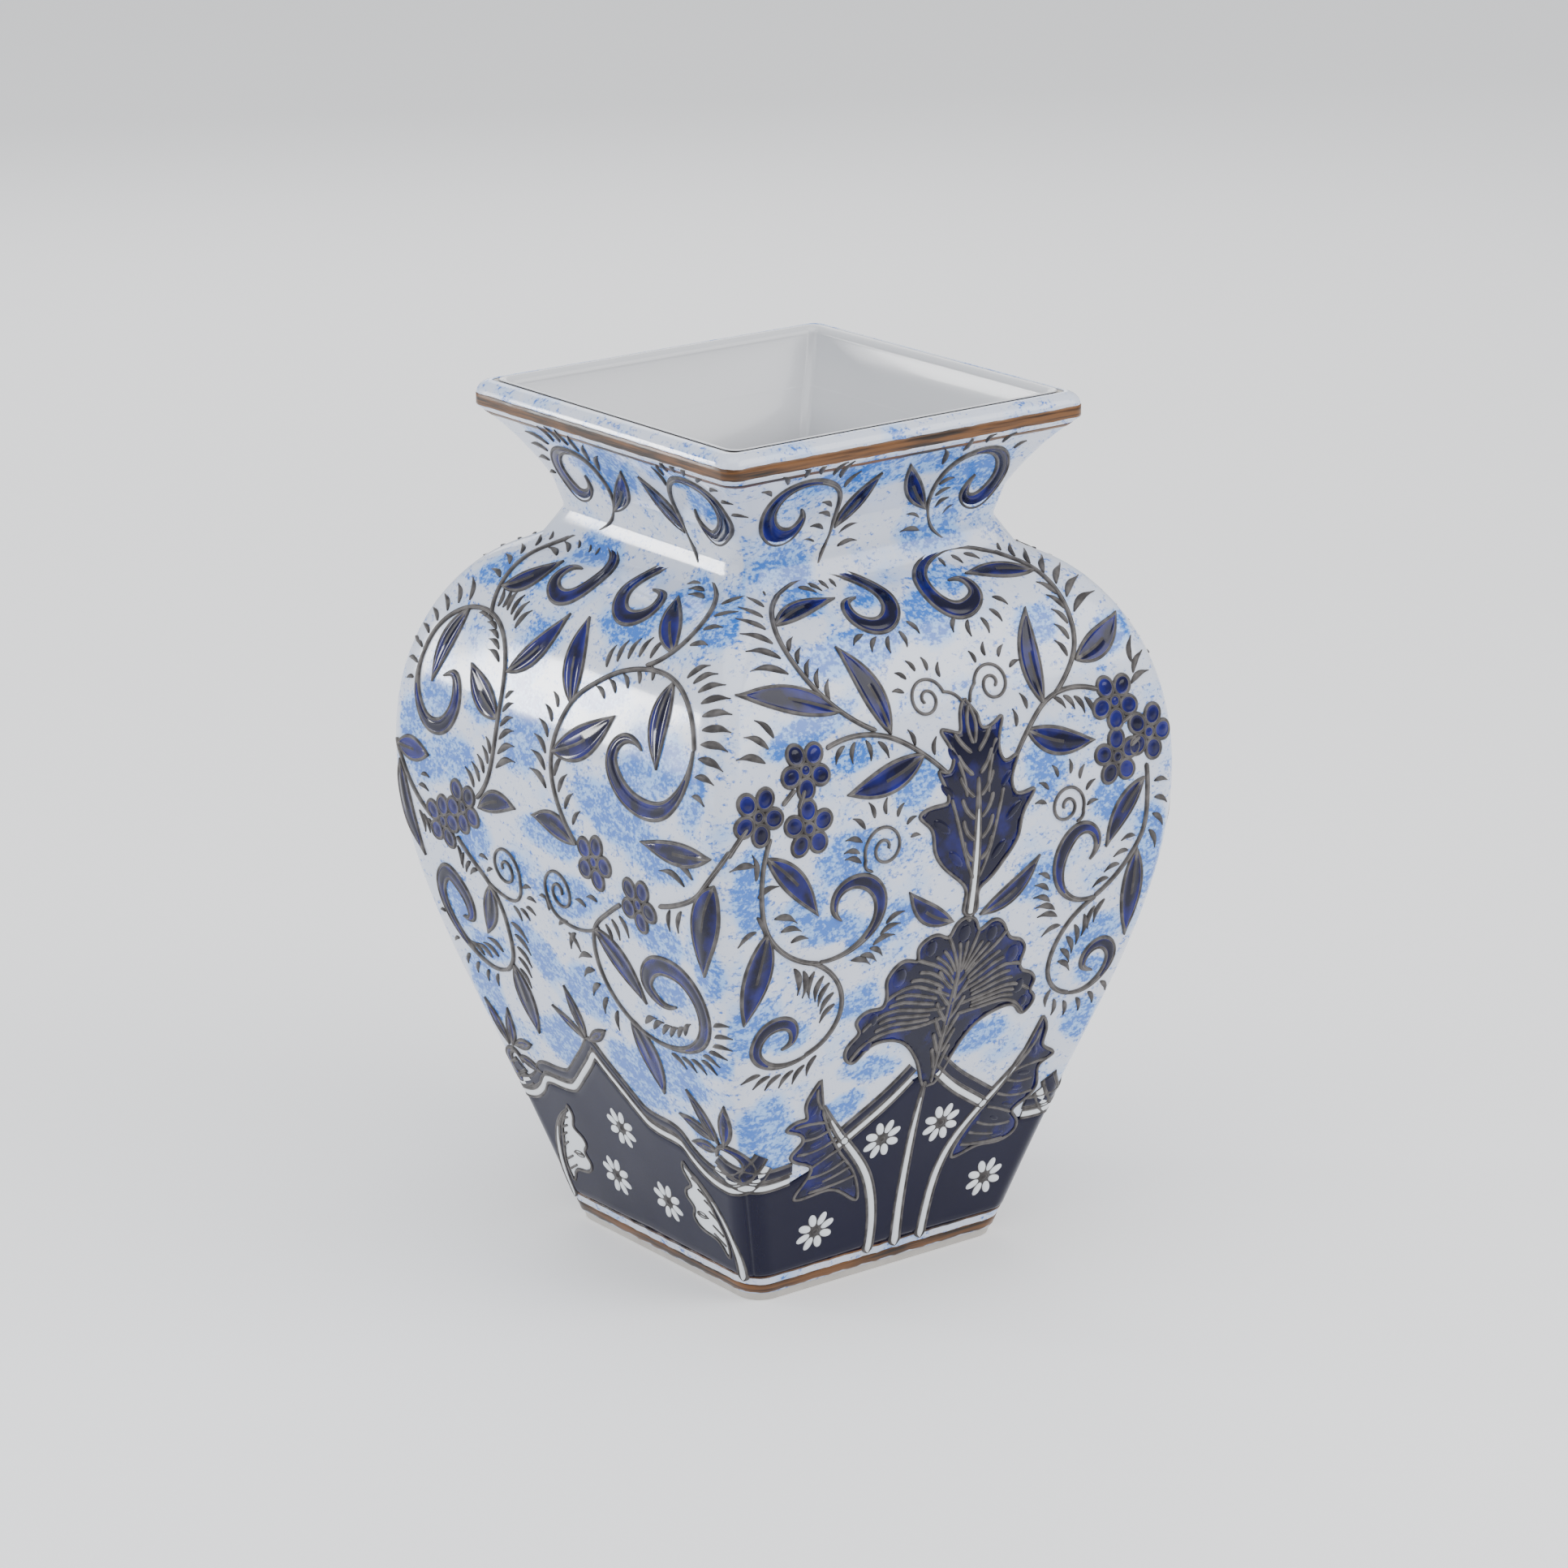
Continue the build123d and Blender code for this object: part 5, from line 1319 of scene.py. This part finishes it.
def patches(places, centres):
    """How strongly each place lies in the sponged patches, given as (x, s, across, along, turn)."""
    share = np.zeros(len(places))
    for x, s, across, along, turn in centres:
        angle = math.radians(turn)
        u = (places[:, 0] - x) * math.cos(angle) + (places[:, 1] - s) * math.sin(angle)
        v = (places[:, 1] - s) * math.cos(angle) - (places[:, 0] - x) * math.sin(angle)
        share = np.maximum(share, 1 - (u / across) ** 2 - (v / along) ** 2)
    return np.clip(PATCH_GAIN * share, 0, 1)


FRONT_SPONGE = (
    (-6, 309, 40, 9, 0), (36, 300, 18, 9, 20), (-44, 278, 20, 5, 0), (20, 279, 16, 4, 0),
    (-38, 262, 10, 8, 20),
    (-16, 260, 7, 7, 0), (20, 260, 8, 8, 0), (-30, 240, 30, 8, 10), (4, 246, 14, 10, 90), (44, 236, 10, 9, 0),
    (-56, 218, 24, 6, 15), (72, 228, 12, 8, 20), (-16, 195, 12, 10, 30), (-40, 206, 12, 5, 0),
    (38, 190, 9, 14, 0),
    (-44, 174, 14, 10, 10), (-62, 160, 10, 9, 40), (-50, 150, 16, 6, 0), (36, 150, 12, 12, 30),
    (64, 174, 8, 8, 0),
    (-78, 120, 12, 14, 30), (-30, 146, 18, 8, 20), (-36, 120, 12, 8, 10), (62, 122, 16, 8, 20),
    (-62, 112, 10, 7, 0), (66, 108, 8, 7, 0), (-64, 70, 14, 24, 10), (-26, 90, 16, 6, -10),
    (22, 92, 16, 7, 8),
    (66, 88, 9, 10, 0), (-34, 76, 14, 7, 30), (-84, 170, 8, 18, 0), (84, 150, 8, 20, 0),
)
SIDE_SPONGE = (
    (-10, 305, 24, 14, 10), (30, 312, 18, 8, 0), (44, 299, 12, 8, 0), (-34, 312, 16, 6, 0),
    (-18, 268, 16, 8, 20),
    (38, 258, 12, 12, 20), (62, 258, 14, 12, -30), (20, 246, 18, 8, 0), (-30, 254, 10, 8, 0),
    (-56, 250, 12, 8, 30),
    (-20, 224, 12, 16, -20), (24, 222, 14, 8, 20), (-40, 204, 12, 8, 0), (56, 206, 22, 14, 10),
    (-66, 206, 12, 14, 0), (-14, 200, 14, 20, -20), (80, 200, 8, 16, 0), (-62, 180, 24, 10, 10),
    (38, 184, 26, 10, -10), (66, 176, 22, 8, 0), (-80, 186, 10, 14, 0), (-46, 156, 14, 10, 20),
    (4, 168, 22, 8, 0),
    (8, 148, 26, 9, 10), (-24, 148, 12, 9, 0), (60, 146, 16, 8, 0), (-66, 128, 8, 14, 0), (84, 146, 8, 16, 0),
    (58, 128, 12, 6, 0), (-20, 120, 18, 10, -20), (8, 112, 16, 14, 20), (-50, 112, 14, 6, 0),
    (60, 104, 30, 8, 0),
    (-62, 92, 12, 16, 0), (46, 92, 22, 12, 0), (-20, 84, 16, 12, 30), (22, 82, 20, 12, -30),
    (56, 70, 10, 8, 0),
)


class VASE_OT_outer_glaze(bpy.types.Operator):
    """Coat the outside with white glaze, sponged with pale blue"""

    bl_idname = "vase.outer_glaze"
    bl_label = "Outer glaze"
    bl_options = {"REGISTER", "UNDO"}

    def execute(self, context):
        form = current_form()
        sizes = form.sizes
        skin = outer_sections(form, sizes.glaze_start, 1.8)
        back = outer_sections(form, sizes.glaze_start, 12.0, COAT)[::-1]
        piece = shell("glaze_outside", skin + back, [finish_material("glaze")], True)
        places = np.empty(len(piece.data.vertices) * 3)
        piece.data.vertices.foreach_get("co", places)
        places = places.reshape(-1, 3) / MM
        run = np.interp(places[:, 2], form.level, form.run)
        share = np.zeros(len(places))
        for face, turn in FACE_TURN.items():
            centres = FRONT_SPONGE if face in ("front", "back") else SIDE_SPONGE
            angle = math.radians(turn)
            across = places[:, 0] * math.cos(angle) + places[:, 1] * math.sin(angle)
            depth = places[:, 1] * math.cos(angle) - places[:, 0] * math.sin(angle)
            mine = patches(np.column_stack([across, run]), centres) * (-depth > np.abs(across) - 1)
            share = np.maximum(share, mine)
        share *= places[:, 2] < form.rim_level - 1
        attribute = piece.data.attributes.new("tone", "FLOAT", "POINT")
        attribute.data.foreach_set("value", share.astype(np.float32))
        settle(piece, "white_glaze", "outer_glaze")
        return {"FINISHED"}


class VASE_OT_inner_glaze(bpy.types.Operator):
    """Coat the inside with plain glaze"""

    bl_idname = "vase.inner_glaze"
    bl_label = "Inner glaze"
    bl_options = {"REGISTER", "UNDO"}

    def execute(self, context):
        form = current_form()
        skin = inner_sections(form, 3.0) + inner_sections(form, 12.0, -COAT)[::-1]
        piece = shell("glaze_inside", skin, [finish_material("inside")], False)
        settle(piece, "inner_glaze", "inner_glaze")
        return {"FINISHED"}


class VASE_OT_bands(bpy.types.Operator):
    """Paint the brown bands round the rim and the foot"""

    bl_idname = "vase.bands"
    bl_label = "Painted bands"
    bl_options = {"REGISTER", "UNDO"}

    LIFT = 0.14               # how far the paint stands out
    # Name, lower and upper level, and how much the edges waver.
    RIM_BANDS = (("rim_band", 0.25, 4.2, 0.22), ("rim_pinstripe", -3.0, -1.7, 0.12))
    FOOT_BANDS = (("foot_band", 3.3, 6.8, 0.35), ("foot_line", 9.5, 10.3, 0.2))

    def execute(self, context):
        form = current_form()
        for base, bands in ((form.rim_level, self.RIM_BANDS), (0, self.FOOT_BANDS)):
            for node, low, high, wave in bands:
                self.paint(form, node, base + low, base + high, wave)
        return {"FINISHED"}

    def paint(self, form, node, low, high, wave):
        """One band, with edges that waver as a brush's do."""
        levels = [(low, 0)] + [(blend(low, high, t), self.LIFT) for t in (0.05, 0.3, 0.6, 0.95)] + [(high, 0)]
        sections = []
        for level, lift in levels:
            half = float(np.interp(level, form.level, form.half))
            sections.append((half + lift, level, form.corner(level, form.sizes.corner)))
        sections += [(half - SINK, level, radius) for half, level, radius in sections[::-2]]
        piece = shell("paint_" + node, sections, [finish_material("brown")], True)
        for vertex in piece.data.vertices:
            x, y, z = vertex.co / MM
            along = math.atan2(y, x) * 12
            sway = math.sin(3 * along) + 0.7 * math.sin(7.3 * along + 1) + 0.4 * math.sin(17 * along)
            if z < low + 0.3 or z > high - 0.3:
                vertex.co.z += wave * 0.4 * sway * MM
        settle(piece, "brown_paint", *([node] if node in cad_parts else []))


# ---- Finishes -------------------------------------------------------------------------------------
def node_group(name, inputs, outputs):
    """An empty shader node group with its sockets, and its group input and output nodes."""
    group = bpy.data.node_groups.new(name, "ShaderNodeTree")
    for label, kind, default in inputs:
        socket = group.interface.new_socket(label, in_out="INPUT", socket_type=kind)
        socket.default_value = default
    for label, kind in outputs:
        group.interface.new_socket(label, in_out="OUTPUT", socket_type=kind)
    return group, group.nodes.new("NodeGroupInput"), group.nodes.new("NodeGroupOutput")


def noise(tree, scale, detail=2.0, stretch=None, roughness=0.5):
    """A noise texture on the vase's own metres, stretched by axis."""
    place = tree.nodes.new("ShaderNodeTexCoord")
    texture = tree.nodes.new("ShaderNodeTexNoise")
    texture.inputs["Scale"].default_value = scale
    texture.inputs["Detail"].default_value = detail
    texture.inputs["Roughness"].default_value = roughness
    mapping = tree.nodes.new("ShaderNodeMapping")
    if stretch:
        mapping.inputs["Scale"].default_value = stretch
    tree.links.new(place.outputs["Object"], mapping.inputs["Vector"])
    tree.links.new(mapping.outputs["Vector"], texture.inputs["Vector"])
    return texture.outputs["Fac"]


def remap(tree, value, low, high, to_low=0.0, to_high=1.0):
    """A value clamped and stretched from one range to another."""
    node = tree.nodes.new("ShaderNodeMapRange")
    tree.links.new(value, node.inputs["Value"])
    for label, number in (("From Min", low), ("From Max", high), ("To Min", to_low), ("To Max", to_high)):
        node.inputs[label].default_value = number
    return node.outputs["Result"]


def feed(tree, socket, value):
    """Join a value to a socket, or set the socket to a number or a colour."""
    if isinstance(value, bpy.types.NodeSocket):
        tree.links.new(value, socket)
    elif isinstance(value, (int, float)):
        socket.default_value = value
    else:
        socket.default_value = (*value[:3], 1)


def calculate(tree, operation, first, second):
    """A sum, product and so on of two values, each a socket or a number."""
    node = tree.nodes.new("ShaderNodeMath")
    node.operation = operation
    for socket, value in zip(node.inputs, (first, second)):
        feed(tree, socket, value)
    return node.outputs["Value"]


def mix(tree, share, first, second):
    """A mix of two colours, each a socket or a tuple."""
    node = tree.nodes.new("ShaderNodeMix")
    node.data_type = "RGBA"
    for socket, value in ((node.inputs["Factor"], share), (node.inputs[6], first), (node.inputs[7], second)):
        feed(tree, socket, value)
    return node.outputs[2]


def tone_of(tree):
    """The tone painted on a mesh's vertices."""
    node = tree.nodes.new("ShaderNodeAttribute")
    node.attribute_name = "tone"
    return node.outputs["Fac"]


def sponge_group():
    """Pale blue wash and darker flecks, gathered where the sponge touched."""
    group, source, sink = node_group(
        "Sponged flecks",
        [("Sponge", "NodeSocketFloat", 0.0), ("Ground", "NodeSocketColor", (1, 1, 1, 1)),
         ("Wash", "NodeSocketColor", (1, 1, 1, 1)), ("Fleck", "NodeSocketColor", (0, 0, 1, 1))],
        [("Color", "NodeSocketColor")],
    )
    ragged = noise(group, 55, 4, (1, 1, 1.3))
    sponge = calculate(group, "ADD", source.outputs["Sponge"], remap(group, ragged, 0.3, 0.7, -0.32, 0.66))
    wash = remap(group, sponge, 0.15, 0.85)
    fine = noise(group, 620, 3, (1.0, 1.0, 1.3), 0.62)
    broad = noise(group, 230, 2, (0.8, 0.8, 1.5))
    fine, broad = calculate(group, "MULTIPLY", fine, 0.62), calculate(group, "MULTIPLY", broad, 0.38)
    grain = calculate(group, "ADD", fine, broad)
    limit = remap(group, sponge, 0.0, 1.1, 0.575, 0.425)
    speck = remap(group, calculate(group, "SUBTRACT", grain, limit), -0.01, 0.10)
    speck = calculate(group, "MULTIPLY", speck, 0.95)
    wash = calculate(group, "MULTIPLY", wash, 0.88)
    washed = mix(group, wash, source.outputs["Ground"], source.outputs["Wash"])
    group.links.new(mix(group, speck, washed, source.outputs["Fleck"]), sink.inputs["Color"])
    return group


def streak_group():
    """Brush streaks that run round the pot, from light to dark brown."""
    group, source, sink = node_group(
        "Brush streaks",
        [("Light", "NodeSocketColor", (1, 1, 1, 1)), ("Dark", "NodeSocketColor", (0, 0, 0, 1))],
        [("Color", "NodeSocketColor")],
    )
    streaks = noise(group, 60, 4, (0.5, 0.5, 14), 0.65)
    blots = noise(group, 35, 2)
    blots = calculate(group, "MULTIPLY", blots, 0.5)
    dark = remap(group, calculate(group, "ADD", streaks, blots), 0.62, 0.86)
    group.links.new(mix(group, dark, source.outputs["Light"], source.outputs["Dark"]), sink.inputs["Color"])
    return group


def enamel_group():
    """Enamel that is deep in its pools and brighter where it thins to its edge."""
    group, source, sink = node_group(
        "Pooled enamel",
        [("Thin", "NodeSocketFloat", 0.0), ("Deep", "NodeSocketColor", (0, 0, 0, 1)),
         ("Edge", "NodeSocketColor", (1, 1, 1, 1))],
        [("Color", "NodeSocketColor")],
    )
    cloud = noise(group, 95, 3)
    share = calculate(group, "ADD", calculate(group, "MULTIPLY", source.outputs["Thin"], 0.55),
                      remap(group, cloud, 0.42, 0.68, -0.3, 0.5))
    share = remap(group, share, 0.0, 1.0)
    group.links.new(mix(group, share, source.outputs["Deep"], source.outputs["Edge"]), sink.inputs["Color"])
    return group


def ripple_group():
    """Heights of the glaze's slow waves and its fine pits, in metres."""
    group, source, sink = node_group(
        "Glaze ripple", [("Wave", "NodeSocketFloat", 1.0), ("Pit", "NodeSocketFloat", 1.0)],
        [("Height", "NodeSocketFloat")],
    )
    wave = calculate(group, "MULTIPLY", noise(group, 28, 1), source.outputs["Wave"])
    pit = calculate(group, "MULTIPLY", remap(group, noise(group, 900, 1), 0.68, 0.8), source.outputs["Pit"])
    group.links.new(calculate(group, "SUBTRACT", wave, pit), sink.inputs["Height"])
    return group


GROUP_NAMES = {sponge_group: "Sponged flecks", streak_group: "Brush streaks", enamel_group: "Pooled enamel",
               ripple_group: "Glaze ripple"}


def grouped(tree, maker, **values):
    """The result of a node group, made the first time it is needed, with its sockets set or joined."""
    node = tree.nodes.new("ShaderNodeGroup")
    node.node_tree = bpy.data.node_groups.get(GROUP_NAMES[maker]) or maker()
    for label, value in values.items():
        feed(tree, node.inputs[label], value)
    return node.outputs[0]


def mottled(tree, colour, darker, share):
    """A colour that shades into a darker one of its own."""
    return mix(tree, share, colour, tuple(darker * part for part in colour))


def glaze_colour(tree, colours):
    """White, sponged with blue."""
    return grouped(tree, sponge_group, Sponge=tone_of(tree), Ground=colours.glaze_white,
                   Wash=colours.glaze_sky, Fleck=colours.fleck)


def inside_colour(tree, colours):
    """Plain grey-white."""
    return mottled(tree, colours.inside, 0.93, noise(tree, 18, 2))


def brown_colour(tree, colours):
    """Streaky brown."""
    return grouped(tree, streak_group, Light=colours.brown, Dark=colours.brown_dark)


def cobalt_colour(tree, colours):
    """Navy that thins to violet."""
    return grouped(tree, enamel_group, Thin=tone_of(tree), Deep=colours.navy, Edge=colours.violet)


def navy_colour(tree, colours):
    """Near-black that thins to navy."""
    return grouped(tree, enamel_group, Thin=tone_of(tree), Deep=colours.skirt, Edge=colours.navy)


def skirt_colour(tree, colours):
    """Near-black, clouded with navy."""
    return mix(tree, remap(tree, noise(tree, 30, 2), 0.4, 0.8), colours.skirt, colours.navy)


def outline_colour(tree, colours):
    """Charcoal, with a painted highlight along its crest and edges, broken up by speckle."""
    speckle = remap(tree, noise(tree, 260, 2), 0.35, 0.7, -0.25, 0.35)
    share = remap(tree, calculate(tree, "ADD", tone_of(tree), speckle), 0.15, 1.05)
    return mix(tree, share, colours.outline, colours.outline_highlight)


def white_enamel_colour(tree, colours):
    """White, shaded at its edges."""
    return mottled(tree, colours.white, 0.8, remap(tree, tone_of(tree), 0.3, 1.0))


def clay_colour(tree, colours):
    """Speckled bare clay."""
    return mottled(tree, colours.clay, 0.7, noise(tree, 240, 4))


def floor_colour(tree, colours):
    """Plain and pale."""
    return mix(tree, noise(tree, 3, 1), (0.86, 0.86, 0.87), (0.84, 0.84, 0.85))


FLOOR_GLOW = 0.3          # the floor's own faint light

# Colour, roughness, gloss, clear coat, and the glaze's waves and pits in millimetres, of each finish.
FINISHES = {
    "glaze": (glaze_colour, 0.14, 0.5, 0.3, 0.45, 0.03),
    "inside": (inside_colour, 0.22, 0.5, 0.2, 0.3, 0.02),
    "brown": (brown_colour, 0.3, 0.3, 0.1, 0.0, 0.0),
    "cobalt": (cobalt_colour, 0.12, 0.22, 0.1, 0.25, 0.0),
    "navy": (navy_colour, 0.16, 0.2, 0.1, 0.25, 0.0),
    "skirt": (skirt_colour, 0.14, 0.16, 0.08, 0.6, 0.02),
    "outline": (outline_colour, 0.4, 0.2, 0.0, 0.0, 0.04),
    "white_enamel": (white_enamel_colour, 0.2, 0.4, 0.2, 0.1, 0.0),
    "clay": (clay_colour, 0.85, 0.3, 0.0, 0.0, 0.08),
    "floor": (floor_colour, 0.9, 0.0, 0.0, 0.0, 0.0),
}


def finish_material(name):
    """The named finish, made the first time it is asked for."""
    made = bpy.data.materials.get("finish_" + name)
    if made:
        return made
    material = bpy.data.materials.new("finish_" + name)
    material.use_nodes = True
    tree = material.node_tree
    sockets = tree.nodes["Principled BSDF"].inputs
    colour_of, roughness, gloss, coat, wave, pit = FINISHES[name]
    sockets["Roughness"].default_value = roughness
    sockets["Specular IOR Level"].default_value = gloss
    sockets["Coat Weight"].default_value = coat
    sockets["Coat Roughness"].default_value = 0.05
    tree.links.new(colour_of(tree, bpy.context.scene.vase_colours), sockets["Base Color"])
    if name == "floor":
        sockets["Emission Color"].default_value = (1, 1, 1, 1)
        sockets["Emission Strength"].default_value = FLOOR_GLOW
    if wave or pit:
        bump = tree.nodes.new("ShaderNodeBump")
        bump.inputs["Distance"].default_value = 1.0
        bump.inputs["Strength"].default_value = 1.0
        tree.links.new(grouped(tree, ripple_group, Wave=wave * MM, Pit=pit * MM), bump.inputs["Height"])
        tree.links.new(bump.outputs["Normal"], sockets["Normal"])
    return material


# ---- The stage ------------------------------------------------------------------------------------
class VASE_OT_stage(bpy.types.Operator):
    """Set the floor, the soft lights and the camera"""

    bl_idname = "vase.stage"
    bl_label = "Stage"
    bl_options = {"REGISTER", "UNDO"}

    LIGHTS = (
        # name, azimuth, level, distance, width, height, watts, colour
        ("window_left", -100, 0.9, 1.5, 1.3, 1.3, 9, (0.93, 0.97, 1.0)),
        ("softbox_right", 30, 1.1, 1.5, 1.1, 1.1, 17, (1.0, 0.99, 0.97)),
        ("overhead", -30, 2.0, 0.5, 1.8, 1.8, 22, (1.0, 1.0, 1.0)),
        ("window", -141, 0.42, 1.9, 0.13, 0.55, 9, (1.0, 1.0, 1.0)),
        ("behind", 150, 1.0, 1.8, 1.2, 1.0, 8, (1.0, 1.0, 1.0)),
    )

    FLOOR_HALF = 7000.0       # half the floor's width, in millimetres
    FLOOR_DROP = 0.2          # how far it lies below the foot
    LIGHT_AIM = Vector((0, 0, 0.15))
    WORLD_COLOUR = (0.95, 0.97, 1.0, 1)
    WORLD_STRENGTH = 0.78

    def execute(self, context):
        corners = [(x * self.FLOOR_HALF, y * self.FLOOR_HALF, -self.FLOOR_DROP)
                   for x, y in ((-1, -1), (1, -1), (1, 1), (-1, 1))]
        floor = make_object("floor", corners, [(0, 1, 2, 3)], [finish_material("floor")], smooth=False)
        for name, azimuth, level, distance, width, height, watts, tint in self.LIGHTS:
            data = bpy.data.lights.new(name, "AREA")
            data.shape = "RECTANGLE"
            data.size, data.size_y = width, height
            data.energy, data.color = watts, tint
            lamp = bpy.data.objects.new(name, data)
            angle = math.radians(azimuth)
            lamp.location = (distance * math.sin(angle), -distance * math.cos(angle), level)
            aim = self.LIGHT_AIM - lamp.location
            lamp.rotation_euler = aim.to_track_quat("-Z", "Y").to_euler()
            context.scene.collection.objects.link(lamp)
        world = bpy.data.worlds.new("studio")
        world.use_nodes = True
        background = world.node_tree.nodes["Background"]
        background.inputs["Color"].default_value = self.WORLD_COLOUR
        background.inputs["Strength"].default_value = self.WORLD_STRENGTH
        context.scene.world = world
        self.add_camera(context)
        return {"FINISHED"}

    def add_camera(self, context):
        """Aim a long lens at the vase from its front left corner, from a little above."""
        stage = context.scene.vase_stage
        middle = Vector((0, 0, (context.scene.vase_sizes.height / 2 + stage.pivot_lift) * MM))
        a, e, roll = (math.radians(v) for v in (stage.azimuth, stage.elevation, stage.roll))
        back = Vector((math.sin(a) * math.cos(e), -math.cos(a) * math.cos(e), math.sin(e)))
        right = Vector((math.cos(a), math.sin(a), 0))
        upward = back.cross(right)
        data = bpy.data.cameras.new("camera")
        data.lens, data.sensor_width = stage.lens, 36
        data.dof.use_dof = False
        camera = bpy.data.objects.new("camera", data)
        camera.location = middle + back * stage.distance * MM
        aim = middle + right * stage.aim_side * MM + upward * stage.aim_up * MM
        camera.rotation_euler = (aim - camera.location).to_track_quat("-Z", "Y").to_euler()
        camera.rotation_euler.rotate_axis("Z", roll)
        context.scene.collection.objects.link(camera)
        context.scene.camera = camera


class VASE_PT_sidebar(bpy.types.Panel):
    """Lists the vase's sizes, colours and pieces"""

    bl_label = "Painted pottery vase"
    bl_idname = "VASE_PT_sidebar"
    bl_space_type = "VIEW_3D"
    bl_region_type = "UI"
    bl_category = "Vase"

    def draw(self, context):
        for group in (context.scene.vase_sizes, context.scene.vase_enamel, context.scene.vase_colours,
                      context.scene.vase_stage):
            box = self.layout.box()
            for key in group.__annotations__:
                box.prop(group, key)
        column = self.layout.column(align=True)
        for operator in OPERATORS:
            column.operator(operator.bl_idname)


OPERATORS = (
    VASE_OT_outer_glaze, VASE_OT_inner_glaze, VASE_OT_bands, VASE_OT_neck_scrolls, VASE_OT_shoulder_scrolls,
    VASE_OT_plume, VASE_OT_blossom, VASE_OT_stems, VASE_OT_flowers, VASE_OT_leaves, VASE_OT_body_scrolls,
    VASE_OT_curls, VASE_OT_vines, VASE_OT_sprigs, VASE_OT_dashes, VASE_OT_daisies, VASE_OT_half_leaves,
    VASE_OT_border, VASE_OT_skirt, VASE_OT_stage,
)
CLASSES = (VaseSizes, EnamelSizes, VaseColours, StageSizes) + OPERATORS + (VASE_PT_sidebar,)
SETTINGS = {"vase_sizes": VaseSizes, "vase_enamel": EnamelSizes, "vase_colours": VaseColours,
            "vase_stage": StageSizes}


def register():
    """Register the classes and hang the settings on the scene."""
    for cls in CLASSES:
        bpy.utils.register_class(cls)
    for name, kind in SETTINGS.items():
        setattr(bpy.types.Scene, name, bpy.props.PointerProperty(type=kind))


def unregister():
    """Undo register."""
    for name in SETTINGS:
        delattr(bpy.types.Scene, name)
    for cls in reversed(CLASSES):
        bpy.utils.unregister_class(cls)


def main():
    """Build the whole vase."""
    register()
    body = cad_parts["clay_body"]
    body.data.materials.clear()
    body.data.materials.append(finish_material("clay"))
    for operator in OPERATORS:
        getattr(bpy.ops.vase, operator.bl_idname.split(".")[1])()


if __name__ == "__main__":
    main()
